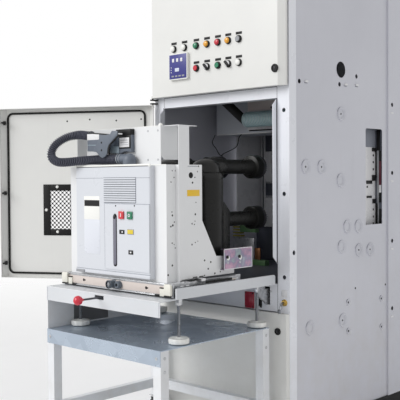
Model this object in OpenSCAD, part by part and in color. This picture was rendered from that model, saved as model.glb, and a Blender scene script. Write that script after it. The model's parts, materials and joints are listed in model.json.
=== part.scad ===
// Medium-voltage switchgear cabinet with its withdrawable circuit breaker drawn out
// onto a service truck.
// Millimetres, +Z up. The front faces of the posts lie on y = 0, the back of the cabinet
// is towards +Y, x = 0 is the middle of the cabinet and the floor is at z = 0.

/* [Cabinet] */
// Width of the cabinet
cab_w = 800; // [760:10:1000]
// Height of the cabinet up to the roof sheet
cab_h = 2200; // [2100:10:2600]
// Depth from the front posts to the rear wall
cab_d = 1390; // [1150:10:1700]
// Depth of the front section that holds the breaker compartment
front_d = 787; // [780:1:900]
// Thickness of the cabinet's steel sheet
sheet_t = 2; // [1.5:0.5:3]
// Height of the base frame
base_h = 60; // [40:5:100]
// Width of the base frame's flanges
base_flange = 50; // [45:5:80]
// How far the base frame stands out in front of the posts
base_proud = 6; // [3:1:12]
// Width of the front face of a post
post_w = 63; // [50:1:70]
// Depth of a post
post_d = 48; // [35:1:60]
// How far the side walls lie inside the posts' outer faces
wall_inset = 8; // [4:1:20]

/* [Levels] */
// Level that the breaker's wheels run on, in the cabinet and on the truck
deck_z = 677; // [600:1:820]
// Height of the fixed band below the breaker opening
band_h = 118; // [90:1:130]
// Room over the breaker, up to the upper edge of its opening
over_breaker = 133; // [125:1:200]
// Height of the header bar between the two hinged doors
header_h = 48; // [40:1:60]
// Depth of the instrument compartment
lv_depth = 560; // [450:10:700]

/* [Doors] */
// Gap between a door's edge and the outline of the cabinet
door_gap = 3; // [2:0.5:6]
// Depth of the doors' folded trays
door_depth = 35; // [30:1:45]
// Width of the bevel along the hinged doors' long edges
door_bevel = 24; // [10:1:28]
// Clearance between a hinged door and the posts
door_clear = 7; // [6:1:10]
// How far the breaker door laps over the lower edge of its opening
door_lap_low = 44; // [30:1:50]
// How far the breaker door laps over the upper edge of its opening
door_lap_high = 17; // [10:1:18]
// How far the breaker door stands open
cb_door_angle = 149; // [90:1:160]
// Depth of the flat cable door
cable_door_depth = 18; // [14:1:24]
// Width of the bevel along the cable door's upright edges
cable_door_bevel = 4; // [4:1:8]
// Radius of a hinge pin
pin_r = 4; // [3:0.5:5]
// Running clearance round a hinge pin
pin_clear = 0.1; // [0.05:0.05:0.1]

/* [Breaker compartment] */
// Distance from the posts' front face to the shutter wall
shutter_y = 746; // [740:1:770]
// Forward depth of the lips at the sides of the opening
collar_d = 30; // [15:1:34]
// Height of the cut-out in each side wall
cutout_h = 451; // [300:1:460]
// Width of the cut-out in each side wall
cutout_w = 148; // [80:1:150]

/* [Circuit breaker] */
// Depth of the drive housing
housing_d = 173; // [150:1:178]
// Height of the drive housing
housing_h = 438; // [400:1:460]
// Width of the plastic front cover
cover_w = 444; // [400:1:480]
// Distance between the middles of the poles
pole_pitch = 210; // [170:1:212]
// Radius of a pole
pole_r = 70; // [60:1:74]
// Distance between the upper and lower contact arms
arm_pitch = 216; // [190:1:260]
// Radius of a contact arm
arm_r = 30; // [24:1:34]
// Radius of the finger contact on an arm
tulip_r = 50; // [40:1:54]
// Thickness of the breaker's steel plates
plate_t = 2.5; // [2:0.5:3]
// Radius of the carriage wheels
wheel_r = 20; // [16:1:24]

/* [Service truck] */
// Height of the guide rails above the table
rail_h = 38; // [30:1:45]
// Height of the table's front flange
flange_h = 58; // [45:1:80]
// Level of the truck's shelf
shelf_z = 500; // [420:1:540]
// Radius of the jack screws
screw_r = 5.5; // [4:0.5:8]
// Radius of the handwheels
handwheel_r = 40; // [30:1:41]
// Radius of the castors
castor_r = 50; // [40:1:55]

/* [Hidden] */
$fn = 48;

touch_gap = 0.3; // between pieces of different bodies that rest on each other
run_clear = 5; // between pieces that pass each other

// Breaker, drawn out: sizes that follow from its poles
plate_x = pole_pitch + 90;
housing_w = 2 * plate_x - 30;
bar_half = plate_x + 25;
pole_h = arm_pitch + 192;

// Breaker, drawn out: places
housing_front = -595;
housing_back = housing_front + housing_d;
housing_z = deck_z + 55;
housing_top = housing_z + housing_h;
cover_t = 24;
cover_z = housing_z + 10;
cover_h = housing_h - 13;
cover_front = housing_front - cover_t;
pole_xs = [-pole_pitch, 0, pole_pitch];
pole_y = -300;
pole_z = housing_z + 58;
arm_z = pole_z + 160;
foot_back = pole_y + 100;
arm_zs = [arm_z, arm_z + arm_pitch];
tulip_back = 52;
tulip_l = 80;
plate_front = -547;
plate_back = -238;
shield_front = -560;
shield_w = 440;
shield_d = 91;
shield_top = housing_top + 148;
carriage_front = -605;
carriage_back = -197;
wheel_w = 12;
plug_d = 48;
plug_latch_t = 6;
plug_body_d = 18;

// Operating panel, measured from the middle and the lower edge of the front cover
panel_lo = [-41, 24];
panel_hi = [220, 278];
panel_proud = 4;
lever_x = 27;
lever_w = 16;
lever_slot = [36, 206]; // lower end and length of the charging lever's slot

// Cabinet outline and levels
half_w = cab_w / 2;
wall_out = half_w - wall_inset;
wall_in = wall_out - sheet_t;
opening_half = half_w - post_w;
roof_z = cab_h - sheet_t;
deck_under = deck_z - sheet_t;
band_z = deck_under - band_h;
opening_top = shield_top + over_breaker;
lv_door_z = opening_top + header_h;
ceiling_z = lv_door_z - sheet_t;

// Side wall features: distance from the front, height
cutout_y = front_d - 191;
cutout_z = deck_z + 220;
cutout_corner = 12;
knockout_r = 29;
knockouts = [[393, 1403], [125, 1165], [242, 1165], [389, 1106], [441, 897], [534, 894],
             [396, 808], [538, 784], [635, 780], [403, 475], [152, 475]];
knockout_dish = 1;
wire_pass = [392, 1600];
wire_pass_r = 36;
wall_holes = [[81, 1523], [381, 1534], [519, 1581]];
post_hole = [30, 807];

// Holes that join the cabinet to its neighbours and to the floor
join_hole_r = 10;
join_y = front_d + 36;
join_zs = [480, 810, 1140, 1470];
floor_bolt_r = 7;
floor_bolt_inset = 30;

// Doors
axis_in_door = pin_r + 3;
axis_x = -half_w + door_gap + axis_in_door;
axis_y = -door_clear - door_depth / 2;
door_w = cab_w - 2 * door_gap;
door_front = -door_clear - door_depth;
inner_y = sheet_t - door_depth;
cb_door_w = door_w - 4;
cb_door_z = deck_z - door_lap_low;
cb_door_h = opening_top + door_lap_high - cb_door_z;
lv_door_h = cab_h - 12 - lv_door_z;
hinge_plate_t = 6;
hinge_pin_in = 9; // how far a hinge pin reaches into its door
knuckle_wall = 3;
gasket_w = 9;
gasket_t = 5;
gasket_margins = [46, 27, 18]; // at the hinge, at the latch, above and below
grille = [410, 210, 165, 251]; // from the hinge edge, above the lower edge, width, height
grille_lap = 16;
pin_zs = [72, 419, 766]; // of the latch pins, above the lower edge
pin_from_edge = 21;
pin_rod_r = 5;
latch_x = -half_w + door_gap + cb_door_w - pin_from_edge;
latch_hole_r = 9;

// Instrument door: relay, and the rows of buttons, switches and lamps
relay_lo = [-246, lv_door_z + 71];
relay_w = 116;
relay_h = 118;
relay_proud = 14;
relay_depth = 110;
button_r = 14.5;
upper_row = [-226, -158, -84, -19, 46, 106, 166];
lower_row = [-84, -19, 46, 106, 166];
upper_row_z = lv_door_z + 213;
lower_row_z = lv_door_z + 113;
lv_lock = [half_w - 40, lv_door_z + 70];

// Locks and labels beside the band
interlock = [159, band_z + 2, 52, 70]; // lower left corner, width, height
key_lock_at = [half_w - 27, band_z + 42];
cable_lock_at = [half_w - 49, band_z - 78];

// Breaker compartment
shutter_half = opening_half - 7;
shutter_h = 150;
guide_x = wall_in - 38;
socket_box_h = ceiling_z - shield_top - 18;
duct_r = 37;
duct_drop_r = 23;
duct_y = 250;
duct_z = ceiling_z - 105;
duct_bend_x = -35;

// Service truck
table_t = 3;
rail_t = 8;
rail_in = bar_half + run_clear;
rail_front = -598;
table_half = rail_in + rail_t;
table_front = -684;
table_back = -18;
shelf_back = -60;
screw_x = table_half - 44;
screw_ys = [-544, -86];
handwheel_z = [shelf_z + 2, shelf_z + 26];
window_y = [-547, -356];
window_z = [shelf_z + 5, shelf_z + 112];
leg_w = 40;
leg_ys = [table_front + table_t, shelf_back - leg_w];
leg_foot = 2 * castor_r + 12;
slot_x = [table_half - 71, table_half - 42];
slot_z = [band_z + 26, band_z + 102];
lever_z = deck_z - 16;
lever_pivot_y = table_front + 124;
lever_tip_y = -786;
lever_slot_w = 54;

// Control hose: hand-chosen points along its centre line, from the top front
// edge of the drive housing, and its radius
hose_r = 18.5;
hose_sides = 12;
hose_from_edge = [
    [-158, 11, 123], [-190, 10, 126], [-222, 5, 130], [-248, -9, 128], [-270, -31, 120],
    [-291, -55, 102], [-306, -71, 80], [-312, -78, 54], [-305, -78, 34], [-281, -72, 20],
    [-252, -63, 17], [-215, -47, 19], [-175, -26, 23], [-130, -7, 25], [-85, 6, 26],
    [-40, 9, 26], [9, 9, 26]
];
hose_pts = [for (p = hose_from_edge) p + [0, housing_front, housing_top]];

// Block between two opposite corners
module block(lo, hi) { translate(lo) cube(hi - lo); }

// The children and their mirror image on the other side of x = 0
module both_sides() {
    children();
    mirror([1, 0, 0]) children();
}

// Cylinder along X
module rod_x(r, from, to) { translate(from) rotate([0, 90, 0]) cylinder(r = r, h = to - from.x); }

// Cylinder along Y, from a point to the depth y
module rod_y(r, from, to) { translate(from) rotate([-90, 0, 0]) cylinder(r = r, h = to - from.y); }

// Rounded rectangle, drawn in the plane x, y from the origin
module rounded_rect(w, h, r) {
    union() {
        translate([r, 0]) square([w - 2 * r, h]);
        translate([0, r]) square([w, h - 2 * r]);
        for (x = [r, w - r], y = [r, h - r]) translate([x, y]) circle(r);
    }
}

// Slot with round ends that stands in the plane of the front: lowest point's corner, size, thickness
module upright_slot(corner, w, h, t) {
    translate(corner) rotate([90, 0, 0]) translate([0, 0, -t]) linear_extrude(t) union() {
        translate([0, w / 2]) square([w, h - w]);
        for (y = [w / 2, h - w / 2]) translate([w / 2, y]) circle(w / 2);
    }
}

// Rounded plate that stands in the plane of the front: lower left corner, size, thickness
module upright_plate(corner, w, h, r, t) {
    translate(corner) rotate([90, 0, 0]) translate([0, 0, -t])
        linear_extrude(t) rounded_rect(w, h, r);
}

// Folded door tray, open at the back (y = 0), with bevelled long edges
module door_tray(w, h, d, b, t) {
    c = t * (sqrt(2) - 1);
    difference() {
        linear_extrude(h) polygon([[0, 0], [0, b - d], [b, -d], [w - b, -d], [w, b - d], [w, 0]]);
        translate([0, 0, t]) linear_extrude(h - 2 * t) polygon([
            [t, 1], [t, b - d + c], [b + c, t - d], [w - b - c, t - d], [w - t, b - d + c], [w - t, 1]
        ]);
    }
}

// Folded door whose hinge pins turn in a knuckle at each end of its hinged edge
module hinged_door(w, h) {
    knuckle_h = hinge_pin_in + knuckle_wall;
    difference() {
        union() {
            door_tray(w, h, door_depth, door_bevel, sheet_t);
            for (z = [0, h - knuckle_h]) translate([axis_in_door, -door_depth / 2, z])
                cylinder(r = pin_r + knuckle_wall, h = knuckle_h);
        }
        for (z = [-1, h - hinge_pin_in - 1]) translate([axis_in_door, -door_depth / 2, z])
            cylinder(r = pin_r + pin_clear, h = hinge_pin_in + 2);
    }
}

// ---- Cabinet ----

module base_frame() color("dimgray") {
    wall = 3;
    difference() {
        block([-half_w, -base_proud, 0], [half_w, cab_d, base_h]);
        block([-half_w + base_flange, base_flange, -1],
              [half_w - base_flange, cab_d - base_flange, base_h + 1]);
        block([-half_w + wall, wall - base_proud, wall], [half_w - wall, cab_d - wall, base_h - wall]);
        for (x = [-1, 1], y = [floor_bolt_inset, cab_d - floor_bolt_inset])
            translate([x * (half_w - floor_bolt_inset), y, -1]) cylinder(r = floor_bolt_r, h = wall + 2);
    }
}

module gland_plate() color("silver")
    block([-wall_in, post_d, base_h], [wall_in, cab_d - sheet_t, base_h + sheet_t]);

// Right-hand front post: a folded section, open towards the middle of the cabinet
module front_post() {
    difference() {
        block([opening_half, 0, base_h], [half_w, post_d, roof_z]);
        block([opening_half - 1, sheet_t, base_h - 1], [half_w - sheet_t, post_d - sheet_t, roof_z + 1]);
        block([opening_half - 1, post_d - sheet_t - 1, base_h - 1], [wall_in, post_d + 1, roof_z + 1]);
        rod_x(join_hole_r, [half_w - sheet_t - 1, post_hole.x, post_hole.y], half_w + 1);
    }
}

module front_posts() color("whitesmoke") {
    difference() {
        front_post();
        for (z = pin_zs) rod_y(latch_hole_r, [latch_x, -1, cb_door_z + z], sheet_t + 1);
    }
    mirror([1, 0, 0]) front_post();
}

// Right-hand side wall with its cut-out, holes and pressed knockouts
module side_wall() {
    difference() {
        block([wall_in, post_d, base_h], [wall_out, front_d, roof_z]);
        block([wall_in - 1, cutout_y, cutout_z],
              [wall_out + 1, cutout_y + cutout_w, cutout_z + cutout_h - cutout_corner]);
        block([wall_in - 1, cutout_y + cutout_corner, cutout_z],
              [wall_out + 1, cutout_y + cutout_w - cutout_corner, cutout_z + cutout_h]);
        for (y = [cutout_y + cutout_corner, cutout_y + cutout_w - cutout_corner])
            rod_x(cutout_corner, [wall_in - 1, y, cutout_z + cutout_h - cutout_corner], wall_out + 1);
        rod_x(wire_pass_r, [wall_in - 1, wire_pass.x, wire_pass.y], wall_out + 1);
        for (p = wall_holes) rod_x(join_hole_r, [wall_in - 1, p.x, p.y], wall_out + 1);
        for (p = knockouts) rod_x(knockout_r, [wall_out - knockout_dish, p.x, p.y], wall_out + 1);
    }
}

module side_walls() color("lightgray") both_sides() side_wall();

// Side of the rear section, with a folded front edge
module rear_side() {
    difference() {
        block([wall_in, front_d, base_h], [half_w, cab_d - sheet_t, roof_z]);
        block([wall_in - 1, front_d + sheet_t, base_h - 1], [half_w - sheet_t, cab_d, roof_z + 1]);
        for (z = join_zs) rod_x(join_hole_r, [half_w - sheet_t - 1, join_y, z], half_w + 1);
    }
}

module rear_sides() color("lightgray") both_sides() rear_side();

module rear_wall() color("lightgray")
    block([-half_w, cab_d - sheet_t, base_h], [half_w, cab_d, roof_z]);

// Roof sheet with two pressure relief flaps on it
module roof_plate() color("lightgray") {
    flap_h = 3;
    block([-half_w, 0, roof_z], [half_w, cab_d, cab_h]);
    for (y = [lv_depth + 30, (lv_depth + cab_d) / 2 + 15])
        block([-half_w + 60, y, cab_h], [half_w - 60, y + (cab_d - lv_depth) / 2 - 60, cab_h + flap_h]);
}

module header_bar() color("whitesmoke") {
    block([-opening_half, 0, opening_top], [opening_half, sheet_t, ceiling_z]);
    block([-opening_half, sheet_t, opening_top], [opening_half, post_d, opening_top + sheet_t]);
}

// Right-hand lip beside the breaker opening, with bevelled ends
module collar_lip() {
    lip_z = deck_z + 83;
    translate([opening_half - sheet_t, 0, 0]) rotate([90, 0, 90]) linear_extrude(sheet_t)
        polygon([[sheet_t, lip_z], [0, lip_z], [-collar_d, lip_z + collar_d],
                 [-collar_d, opening_top - collar_d], [0, opening_top], [sheet_t, opening_top]]);
}

module opening_collar() color("white") both_sides() collar_lip();

// Fixed band under the opening, with two slots for the truck's hooks
module lower_band() color("lavender") {
    difference() {
        block([-opening_half, 0, band_z], [opening_half, sheet_t, deck_under]);
        both_sides() block([slot_x[0], -1, slot_z[0]], [slot_x[1], sheet_t + 1, slot_z[1]]);
    }
}

module interlock_plate() color("firebrick")
    upright_plate([interlock[0], -5, interlock[1]], interlock[2], interlock[3], 3, 5);

module key_lock() color("goldenrod") {
    key = [1.5, 7];
    rod_y(14, [key_lock_at.x, -7, key_lock_at.y], 0);
    block([key_lock_at.x - key.x, -13, key_lock_at.y - key.y],
          [key_lock_at.x + key.x, -7, key_lock_at.y + key.y]);
}

module cable_door() color("lightgray")
    translate([-half_w + door_gap - 1, 0, base_h + door_gap])
        door_tray(door_w + 2, band_z - base_h - 2 * door_gap, cable_door_depth, cable_door_bevel, sheet_t);

module cable_door_lock() color("black") {
    face = -cable_door_depth - 7;
    wing = [2.5, 8];
    rod_y(11, [cable_lock_at.x, face, cable_lock_at.y], -cable_door_depth);
    block([cable_lock_at.x - wing.x, face - 2, cable_lock_at.y - wing.y],
          [cable_lock_at.x + wing.x, face, cable_lock_at.y + wing.y]);
}

// Level sheet between the walls, with a tongue between the posts
module deck(z, back) {
    block([-wall_in, post_d, z], [wall_in, back, z + sheet_t]);
    block([-opening_half, 0, z], [opening_half, post_d, z + sheet_t]);
}

module compartment_floor() color("slategray") deck(deck_under, front_d);

module compartment_ceiling() color("slategray") deck(ceiling_z, cab_d - sheet_t);

module shutter_wall() color("slategray")
    block([-wall_in, shutter_y, deck_z], [wall_in, shutter_y + sheet_t, ceiling_z]);

module shutters() color("silver")
    for (z = arm_zs)
        block([-shutter_half, shutter_y - 3, z - shutter_h / 2],
              [shutter_half, shutter_y, z + shutter_h / 2]);

// Uprights that guide the shutters, with the black drive bars beside them
module shutter_guide() {
    bar_x = guide_x + sheet_t;
    bar_w = 12;
    block([guide_x, shutter_y - 184, deck_z + 180], [bar_x, shutter_y, ceiling_z - 90]);
    block([bar_x, shutter_y - 60, deck_z + 210], [bar_x + bar_w, shutter_y - 48, ceiling_z - 160]);
    block([bar_x, shutter_y - 34, deck_z + 230], [bar_x + bar_w, shutter_y - 22, ceiling_z - 200]);
}

module shutter_guides() color("gainsboro") both_sides() shutter_guide();

// Enclosure under the ceiling for the control socket
module socket_box() color("slategray") difference() {
    lo = [70 - wall_in, 350, ceiling_z - socket_box_h];
    hi = [wall_in, lv_depth, ceiling_z];
    block(lo, hi);
    block(lo + [sheet_t, sheet_t, sheet_t], hi + [-sheet_t, -sheet_t, 1]);
}

// Flexible wiring duct: down from the ceiling, then across to the right wall
module wiring_duct() color("cadetblue") {
    drop_x = 150;
    drop_z = ceiling_z - duct_z;
    rod_x(duct_r, [duct_bend_x, duct_y, duct_z], wall_in);
    intersection() {
        translate([duct_bend_x, duct_y, duct_z])
            rotate([0, -atan2(drop_x, drop_z), 0]) cylinder(r = duct_drop_r, h = 400);
        block([-half_w, duct_y - 60, duct_z], [duct_bend_x + duct_r, duct_y + 60, ceiling_z]);
    }
}

module instrument_back_wall() color("lightgray")
    block([-wall_in, lv_depth, lv_door_z], [wall_in, lv_depth + sheet_t, roof_z]);

// Bracket on the post with the pin that a door turns on: level of the door's edge, direction
module hinge(z, up) {
    gap = 4;
    plate_z = up > 0 ? z - gap - hinge_plate_t : z + gap;
    block([-half_w, axis_y - pin_r - 4, plate_z], [axis_x + pin_r + 8, 0, plate_z + hinge_plate_t]);
    translate([axis_x, axis_y, up > 0 ? plate_z : z - hinge_pin_in])
        cylinder(r = pin_r, h = hinge_pin_in + gap + hinge_plate_t);
}

module door_hinges() color("dimgray") {
    hinge(cb_door_z, 1);
    hinge(cb_door_z + cb_door_h, -1);
    hinge(lv_door_z, 1);
    hinge(lv_door_z + lv_door_h, -1);
}

// ---- Service truck ----

module truck_table() color("white") {
    difference() {
        union() {
            block([-table_half, table_front, deck_z - table_t], [table_half, table_back, deck_z]);
            block([-table_half, table_front, deck_z - flange_h], [table_half, table_front + table_t, deck_z]);
        }
        block([-lever_slot_w / 2, table_front - 1, lever_z - 8],
              [lever_slot_w / 2, table_front + table_t + 1, lever_z + 8]);
    }
    translate([0, lever_pivot_y, lever_z - 8]) cylinder(r = pin_r, h = deck_z - table_t - lever_z + 8);
}

module table_rail() {
    r = 10;
    translate([table_half - rail_t, 0, deck_z]) rotate([90, 0, 90]) linear_extrude(rail_t)
        union() {
            translate([rail_front, 0]) square([table_back - rail_front - r, rail_h]);
            translate([table_back - r - 1, 0]) square([r + 1, rail_h - r]);
            translate([table_back - r, rail_h - r]) circle(r);
        }
}

module table_rails() color("gainsboro") both_sides() table_rail();

// Skirt on the left side, between the shelf and the table, with a covered window
module truck_side_panel() color("whitesmoke") difference() {
    block([-table_half, table_front + table_t, shelf_z], [-table_half + 2, shelf_back, deck_z - table_t]);
    block([-table_half - 1, window_y[0], window_z[0]], [-table_half + 3, window_y[1], window_z[1]]);
}

module panel_cover() color("dimgray")
    block([-table_half - 3, window_y[0] - 8, window_z[0] - 4],
          [-table_half, window_y[1] + 8, window_z[1] + 8]);

module truck_shelf() color("lightsteelblue") {
    block([-table_half, table_front, shelf_z - table_t], [table_half, shelf_back, shelf_z]);
    block([-table_half, table_front, shelf_z - flange_h], [table_half, table_front + table_t, shelf_z]);
}

// Jack screws with their nut blocks under the table
module jack_screws() color("gray")
    for (x = [-screw_x, screw_x], y = screw_ys) translate([x, y, 0]) {
        translate([0, 0, shelf_z]) cylinder(r = screw_r, h = deck_z - table_t - shelf_z);
        block([-16, -16, deck_z - table_t - 6], [16, 16, deck_z - table_t]);
        block([-10, -10, deck_z - table_t - 30], [10, 10, deck_z - table_t - 6]);
    }

module handwheels() color("white")
    for (x = [-screw_x, screw_x], y = screw_ys) translate([x, y, handwheel_z[0]]) difference() {
        union() {
            cylinder(r = handwheel_r, h = handwheel_z[1] - handwheel_z[0] - 2);
            cylinder(r = 14, h = handwheel_z[1] - handwheel_z[0]);
        }
        translate([0, 0, -1]) cylinder(r = screw_r + 0.2, h = 60);
    }

module truck_legs() color("gainsboro") {
    brace_z = leg_foot + 40;
    for (y = leg_ys) both_sides()
        block([table_half - leg_w, y, leg_foot], [table_half, y + leg_w, shelf_z - table_t]);
    for (y = leg_ys)
        block([leg_w - table_half, y + 5, brace_z], [table_half - leg_w, y + leg_w - 5, brace_z + leg_w]);
    both_sides() block([table_half - leg_w + 5, leg_ys[0] + leg_w, brace_z],
                       [table_half - 5, leg_ys[1], brace_z + leg_w]);
}

// Swivel castor: wheel between the cheeks of its fork
module castor() {
    wheel_w = 28;
    cheek = 4;
    rod_x(castor_r, [-wheel_w / 2, 0, castor_r], wheel_w / 2);
    difference() {
        block([-wheel_w / 2 - 1 - cheek, -18, castor_r - 14], [wheel_w / 2 + 1 + cheek, 18, leg_foot]);
        block([-wheel_w / 2 - 1, -19, 0], [wheel_w / 2 + 1, 19, 2 * castor_r + 5]);
    }
    rod_x(6, [-wheel_w / 2 - 1, 0, castor_r], -wheel_w / 2);
    rod_x(6, [wheel_w / 2, 0, castor_r], wheel_w / 2 + 1);
}

module castors() color("dimgray")
    for (x = [-1, 1], y = leg_ys) translate([x * (table_half - leg_w / 2), y + leg_w / 2, 0]) castor();

// Hooks that hold the truck in the slots of the band
module docking_hook() {
    hook_t = 10;
    mid = (slot_x[0] + slot_x[1]) / 2;
    back = sheet_t + touch_gap;
    rest_z = slot_z[0] + touch_gap;
    translate([mid - hook_t / 2, 0, 0]) rotate([90, 0, 90]) linear_extrude(hook_t) polygon([
        [table_back - 50, deck_z - table_t], [table_back - 50, slot_z[1] - 30], [-6, rest_z],
        [back, rest_z], [back, slot_z[0] - 12], [back + 10, slot_z[0] - 12],
        [back + 16, slot_z[1] - 8], [table_back - 5, slot_z[1] - 8], [table_back - 5, deck_z - table_t]
    ]);
}

module docking_hooks() color("silver") both_sides() docking_hook();

module release_lever() color("crimson") {
    eye = 8;
    difference() {
        union() {
            rod_y(4, [0, lever_tip_y, lever_z], lever_pivot_y - pin_r - 2);
            translate([0, lever_pivot_y, lever_z - eye / 2]) cylinder(r = 13, h = eye);
        }
        translate([0, lever_pivot_y, lever_z - eye]) cylinder(r = pin_r + pin_clear, h = 2 * eye);
    }
    translate([0, lever_tip_y, lever_z]) sphere(18.5);
}

// ---- Breaker door, standing open ----

// Places a piece given in the door's own frame: hinge edge, back of the tray, lower edge
module on_breaker_door()
    translate([axis_x, axis_y, cb_door_z]) rotate(-cb_door_angle)
        translate([-axis_in_door, door_depth / 2, 0]) children();

module breaker_door_panel() color("gainsboro") on_breaker_door() difference() {
    hinged_door(cb_door_w, cb_door_h);
    block([grille[0] + grille_lap, -door_depth - 1, grille[1] + grille_lap],
          [grille[0] + grille[2] - grille_lap, inner_y + 1, grille[1] + grille[3] - grille_lap]);
}

module door_gasket() color("black") on_breaker_door() {
    corner = 30;
    at = [gasket_margins[0], inner_y, gasket_margins[2]];
    w = cb_door_w - gasket_margins[0] - gasket_margins[1];
    h = cb_door_h - 2 * gasket_margins[2];
    difference() {
        upright_plate(at, w, h, corner, gasket_t);
        translate([gasket_w, -1, gasket_w])
            upright_plate(at, w - 2 * gasket_w, h - 2 * gasket_w, corner - gasket_w, gasket_t + 2);
    }
}

module vent_grille() color("black") on_breaker_door()
    block([grille[0], inner_y, grille[1]], [grille[0] + grille[2], inner_y + 3, grille[1] + grille[3]]);

// Latch pins, with their feet cut to the door's bevelled edge
module latch_pins() color("black") on_breaker_door() difference() {
    for (z = pin_zs) rod_y(pin_rod_r, [cb_door_w - pin_from_edge, inner_y, z], 18);
    edge_y = door_bevel - door_depth + sheet_t * sqrt(2) + 0.1;
    linear_extrude(cb_door_h) polygon([
        [cb_door_w, edge_y], [cb_door_w - 60, edge_y - 60], [cb_door_w, edge_y - 60]
    ]);
}

// ---- Instrument door, closed ----

module on_instrument_door() translate([-half_w + door_gap, -door_clear, lv_door_z]) children();

module instrument_door_panel() color("whitesmoke") on_instrument_door() hinged_door(door_w, lv_door_h);

module protection_relay() color("midnightblue") {
    upright_plate([relay_lo.x, door_front - relay_proud, relay_lo.y], relay_w, relay_h, 4, relay_proud);
    block([relay_lo.x + 8, door_front + sheet_t, relay_lo.y + 8],
          [relay_lo.x + relay_w - 8, door_front + sheet_t + relay_depth, relay_lo.y + relay_h - 8]);
}

// Push buttons, selector switches and lamps with their contact blocks behind the door
module control_button(x, z) {
    back = door_front + sheet_t;
    half = 14;
    rod_y(button_r, [x, door_front - 14, z], door_front);
    block([x - half, back, z - half], [x + half, back + 48, z + half]);
}

module control_buttons() color("black") {
    for (x = lower_row) control_button(x, lower_row_z);
    for (x = upper_row) control_button(x, upper_row_z);
}

module instrument_door_lock() color("black") {
    rod_y(17, [lv_lock.x, door_front - 8, lv_lock.y], door_front);
    rod_y(9, [lv_lock.x, door_front + sheet_t, lv_lock.y], -door_clear);
}

// ---- Circuit breaker, drawn out ----

// Sheet housing, closed below by the carriage
module drive_housing() color("ghostwhite") difference() {
    t = plate_t;
    block([-housing_w / 2, housing_front, housing_z], [housing_w / 2, housing_back, housing_top]);
    block([t - housing_w / 2, housing_front + t, housing_z - 1],
          [housing_w / 2 - t, housing_back - t, housing_top - t]);
}

module front_cover() color("aliceblue")
    translate([-cover_w / 2, housing_front, cover_z]) linear_extrude(cover_h) {
        r = 8;
        translate([0, r - cover_t]) square([cover_w, cover_t - r]);
        translate([r, -cover_t]) square([cover_w - 2 * r, r + 1]);
        for (x = [r, cover_w - r]) translate([x, r - cover_t]) circle(r);
    }

module operating_panel() color("white") difference() {
    block([panel_lo.x, cover_front - panel_proud, cover_z + panel_lo.y],
          [panel_hi.x, cover_front, cover_z + panel_hi.y]);
    upright_slot([lever_x - lever_w / 2, cover_front - panel_proud - 1, cover_z + lever_slot[0]],
                 lever_w, lever_slot[1], panel_proud + 2);
}

module charging_lever() color("dimgray")
    upright_slot([lever_x - lever_w / 2 + 2, cover_front - panel_proud - 3, cover_z + lever_slot[0] + 4],
                 lever_w - 4, lever_slot[1] - 10, panel_proud + 3);

// Sheet shield that carries the control plug, open at the back
module shield_box() color("white") {
    t = plate_t;
    block([-shield_w / 2, shield_front, housing_top], [shield_w / 2, shield_front + t, shield_top]);
    block([-shield_w / 2, shield_front + t, shield_top - t],
          [shield_w / 2, shield_front + shield_d, shield_top]);
    both_sides() translate([shield_w / 2 - t, 0, 0]) rotate([90, 0, 90]) linear_extrude(t) polygon([
        [shield_front + t, shield_top - t], [shield_front + t, housing_top + 35],
        [shield_front + t + 15, housing_top + 20], [shield_front + shield_d, housing_top + 20],
        [shield_front + shield_d, shield_top - t]
    ]);
}

// Side plate with its folded front edge and the bracket to the shield
module side_plate() {
    top_z = shield_top - plate_t;
    translate([plate_x, 0, 0]) rotate([90, 0, 90]) linear_extrude(plate_t) polygon([
        [plate_front, housing_z], [plate_front + 12, housing_z + 8], [plate_back, housing_z + 8],
        [plate_back, housing_z + 79],
        [-343, housing_z + 83], [housing_back, housing_z + 225], [housing_back, housing_top],
        [plate_front + 56, housing_top], [plate_front + 56, top_z], [plate_front, top_z]
    ]);
    block([housing_w / 2, plate_front, housing_z], [plate_x, plate_front + plate_t, housing_top]);
    block([shield_w / 2, plate_front, top_z], [plate_x + plate_t, plate_front + 98, shield_top]);
}

module side_plates() color("gainsboro") both_sides() side_plate();

module poles() color("black")
    for (x = pole_xs) {
        translate([x, pole_y, pole_z]) rotate_extrude() polygon([
            [0, 0], [pole_r - 6, 0], [pole_r, 6], [pole_r, pole_h - 34], [pole_r - 10, pole_h - 12],
            [pole_r - 36, pole_h], [0, pole_h]
        ]);
        for (z = [pole_z + 40, pole_z + pole_h - 110])
            block([x - 35, housing_back, z], [x + 35, pole_y - pole_r + 12, z + 50]);
        foot_block(x, 0);
    }

// Block behind a pole that carries its lower arm: middle of the pole, clearance around the block
module foot_block(x, clear) {
    half = 40 + clear;
    back = foot_back + clear;
    top = arm_z + 75 + clear;
    translate([x + half, pole_y, 0]) rotate([90, 0, -90]) mirror([1, 0, 0])
        linear_extrude(2 * half) polygon([
            [0, pole_z], [back - pole_y, pole_z], [back - pole_y, top - 40],
            [pole_r - 5, top], [0, top]
        ]);
}

module contact_arms() color("black") difference() {
    for (x = pole_xs, z = arm_zs)
        rod_y(arm_r, [x, pole_y, z], tulip_back - tulip_l);
    for (x = pole_xs) {
        translate([x, pole_y, pole_z - 1]) cylinder(r = pole_r + 0.2, h = pole_h + 60);
        foot_block(x, 0.2);
    }
}

module finger_contacts() color("black")
    for (x = pole_xs, z = arm_zs)
        rod_y(tulip_r, [x, tulip_back - tulip_l, z], tulip_back);

// Wheeled frame under the breaker, with the crossbar at its front
module carriage() color("silver") {
    wall = 20;
    low = deck_z + 14;
    difference() {
        block([-plate_x, carriage_front + 5, low], [plate_x, carriage_back, housing_z]);
        block([wall - plate_x, carriage_front + 5 + wall, low - 1],
              [plate_x - wall, carriage_back - wall, housing_z - 3]);
    }
    block([-bar_half, carriage_front, deck_z + 5], [bar_half, carriage_front + 5, housing_z - 2]);
}

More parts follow.
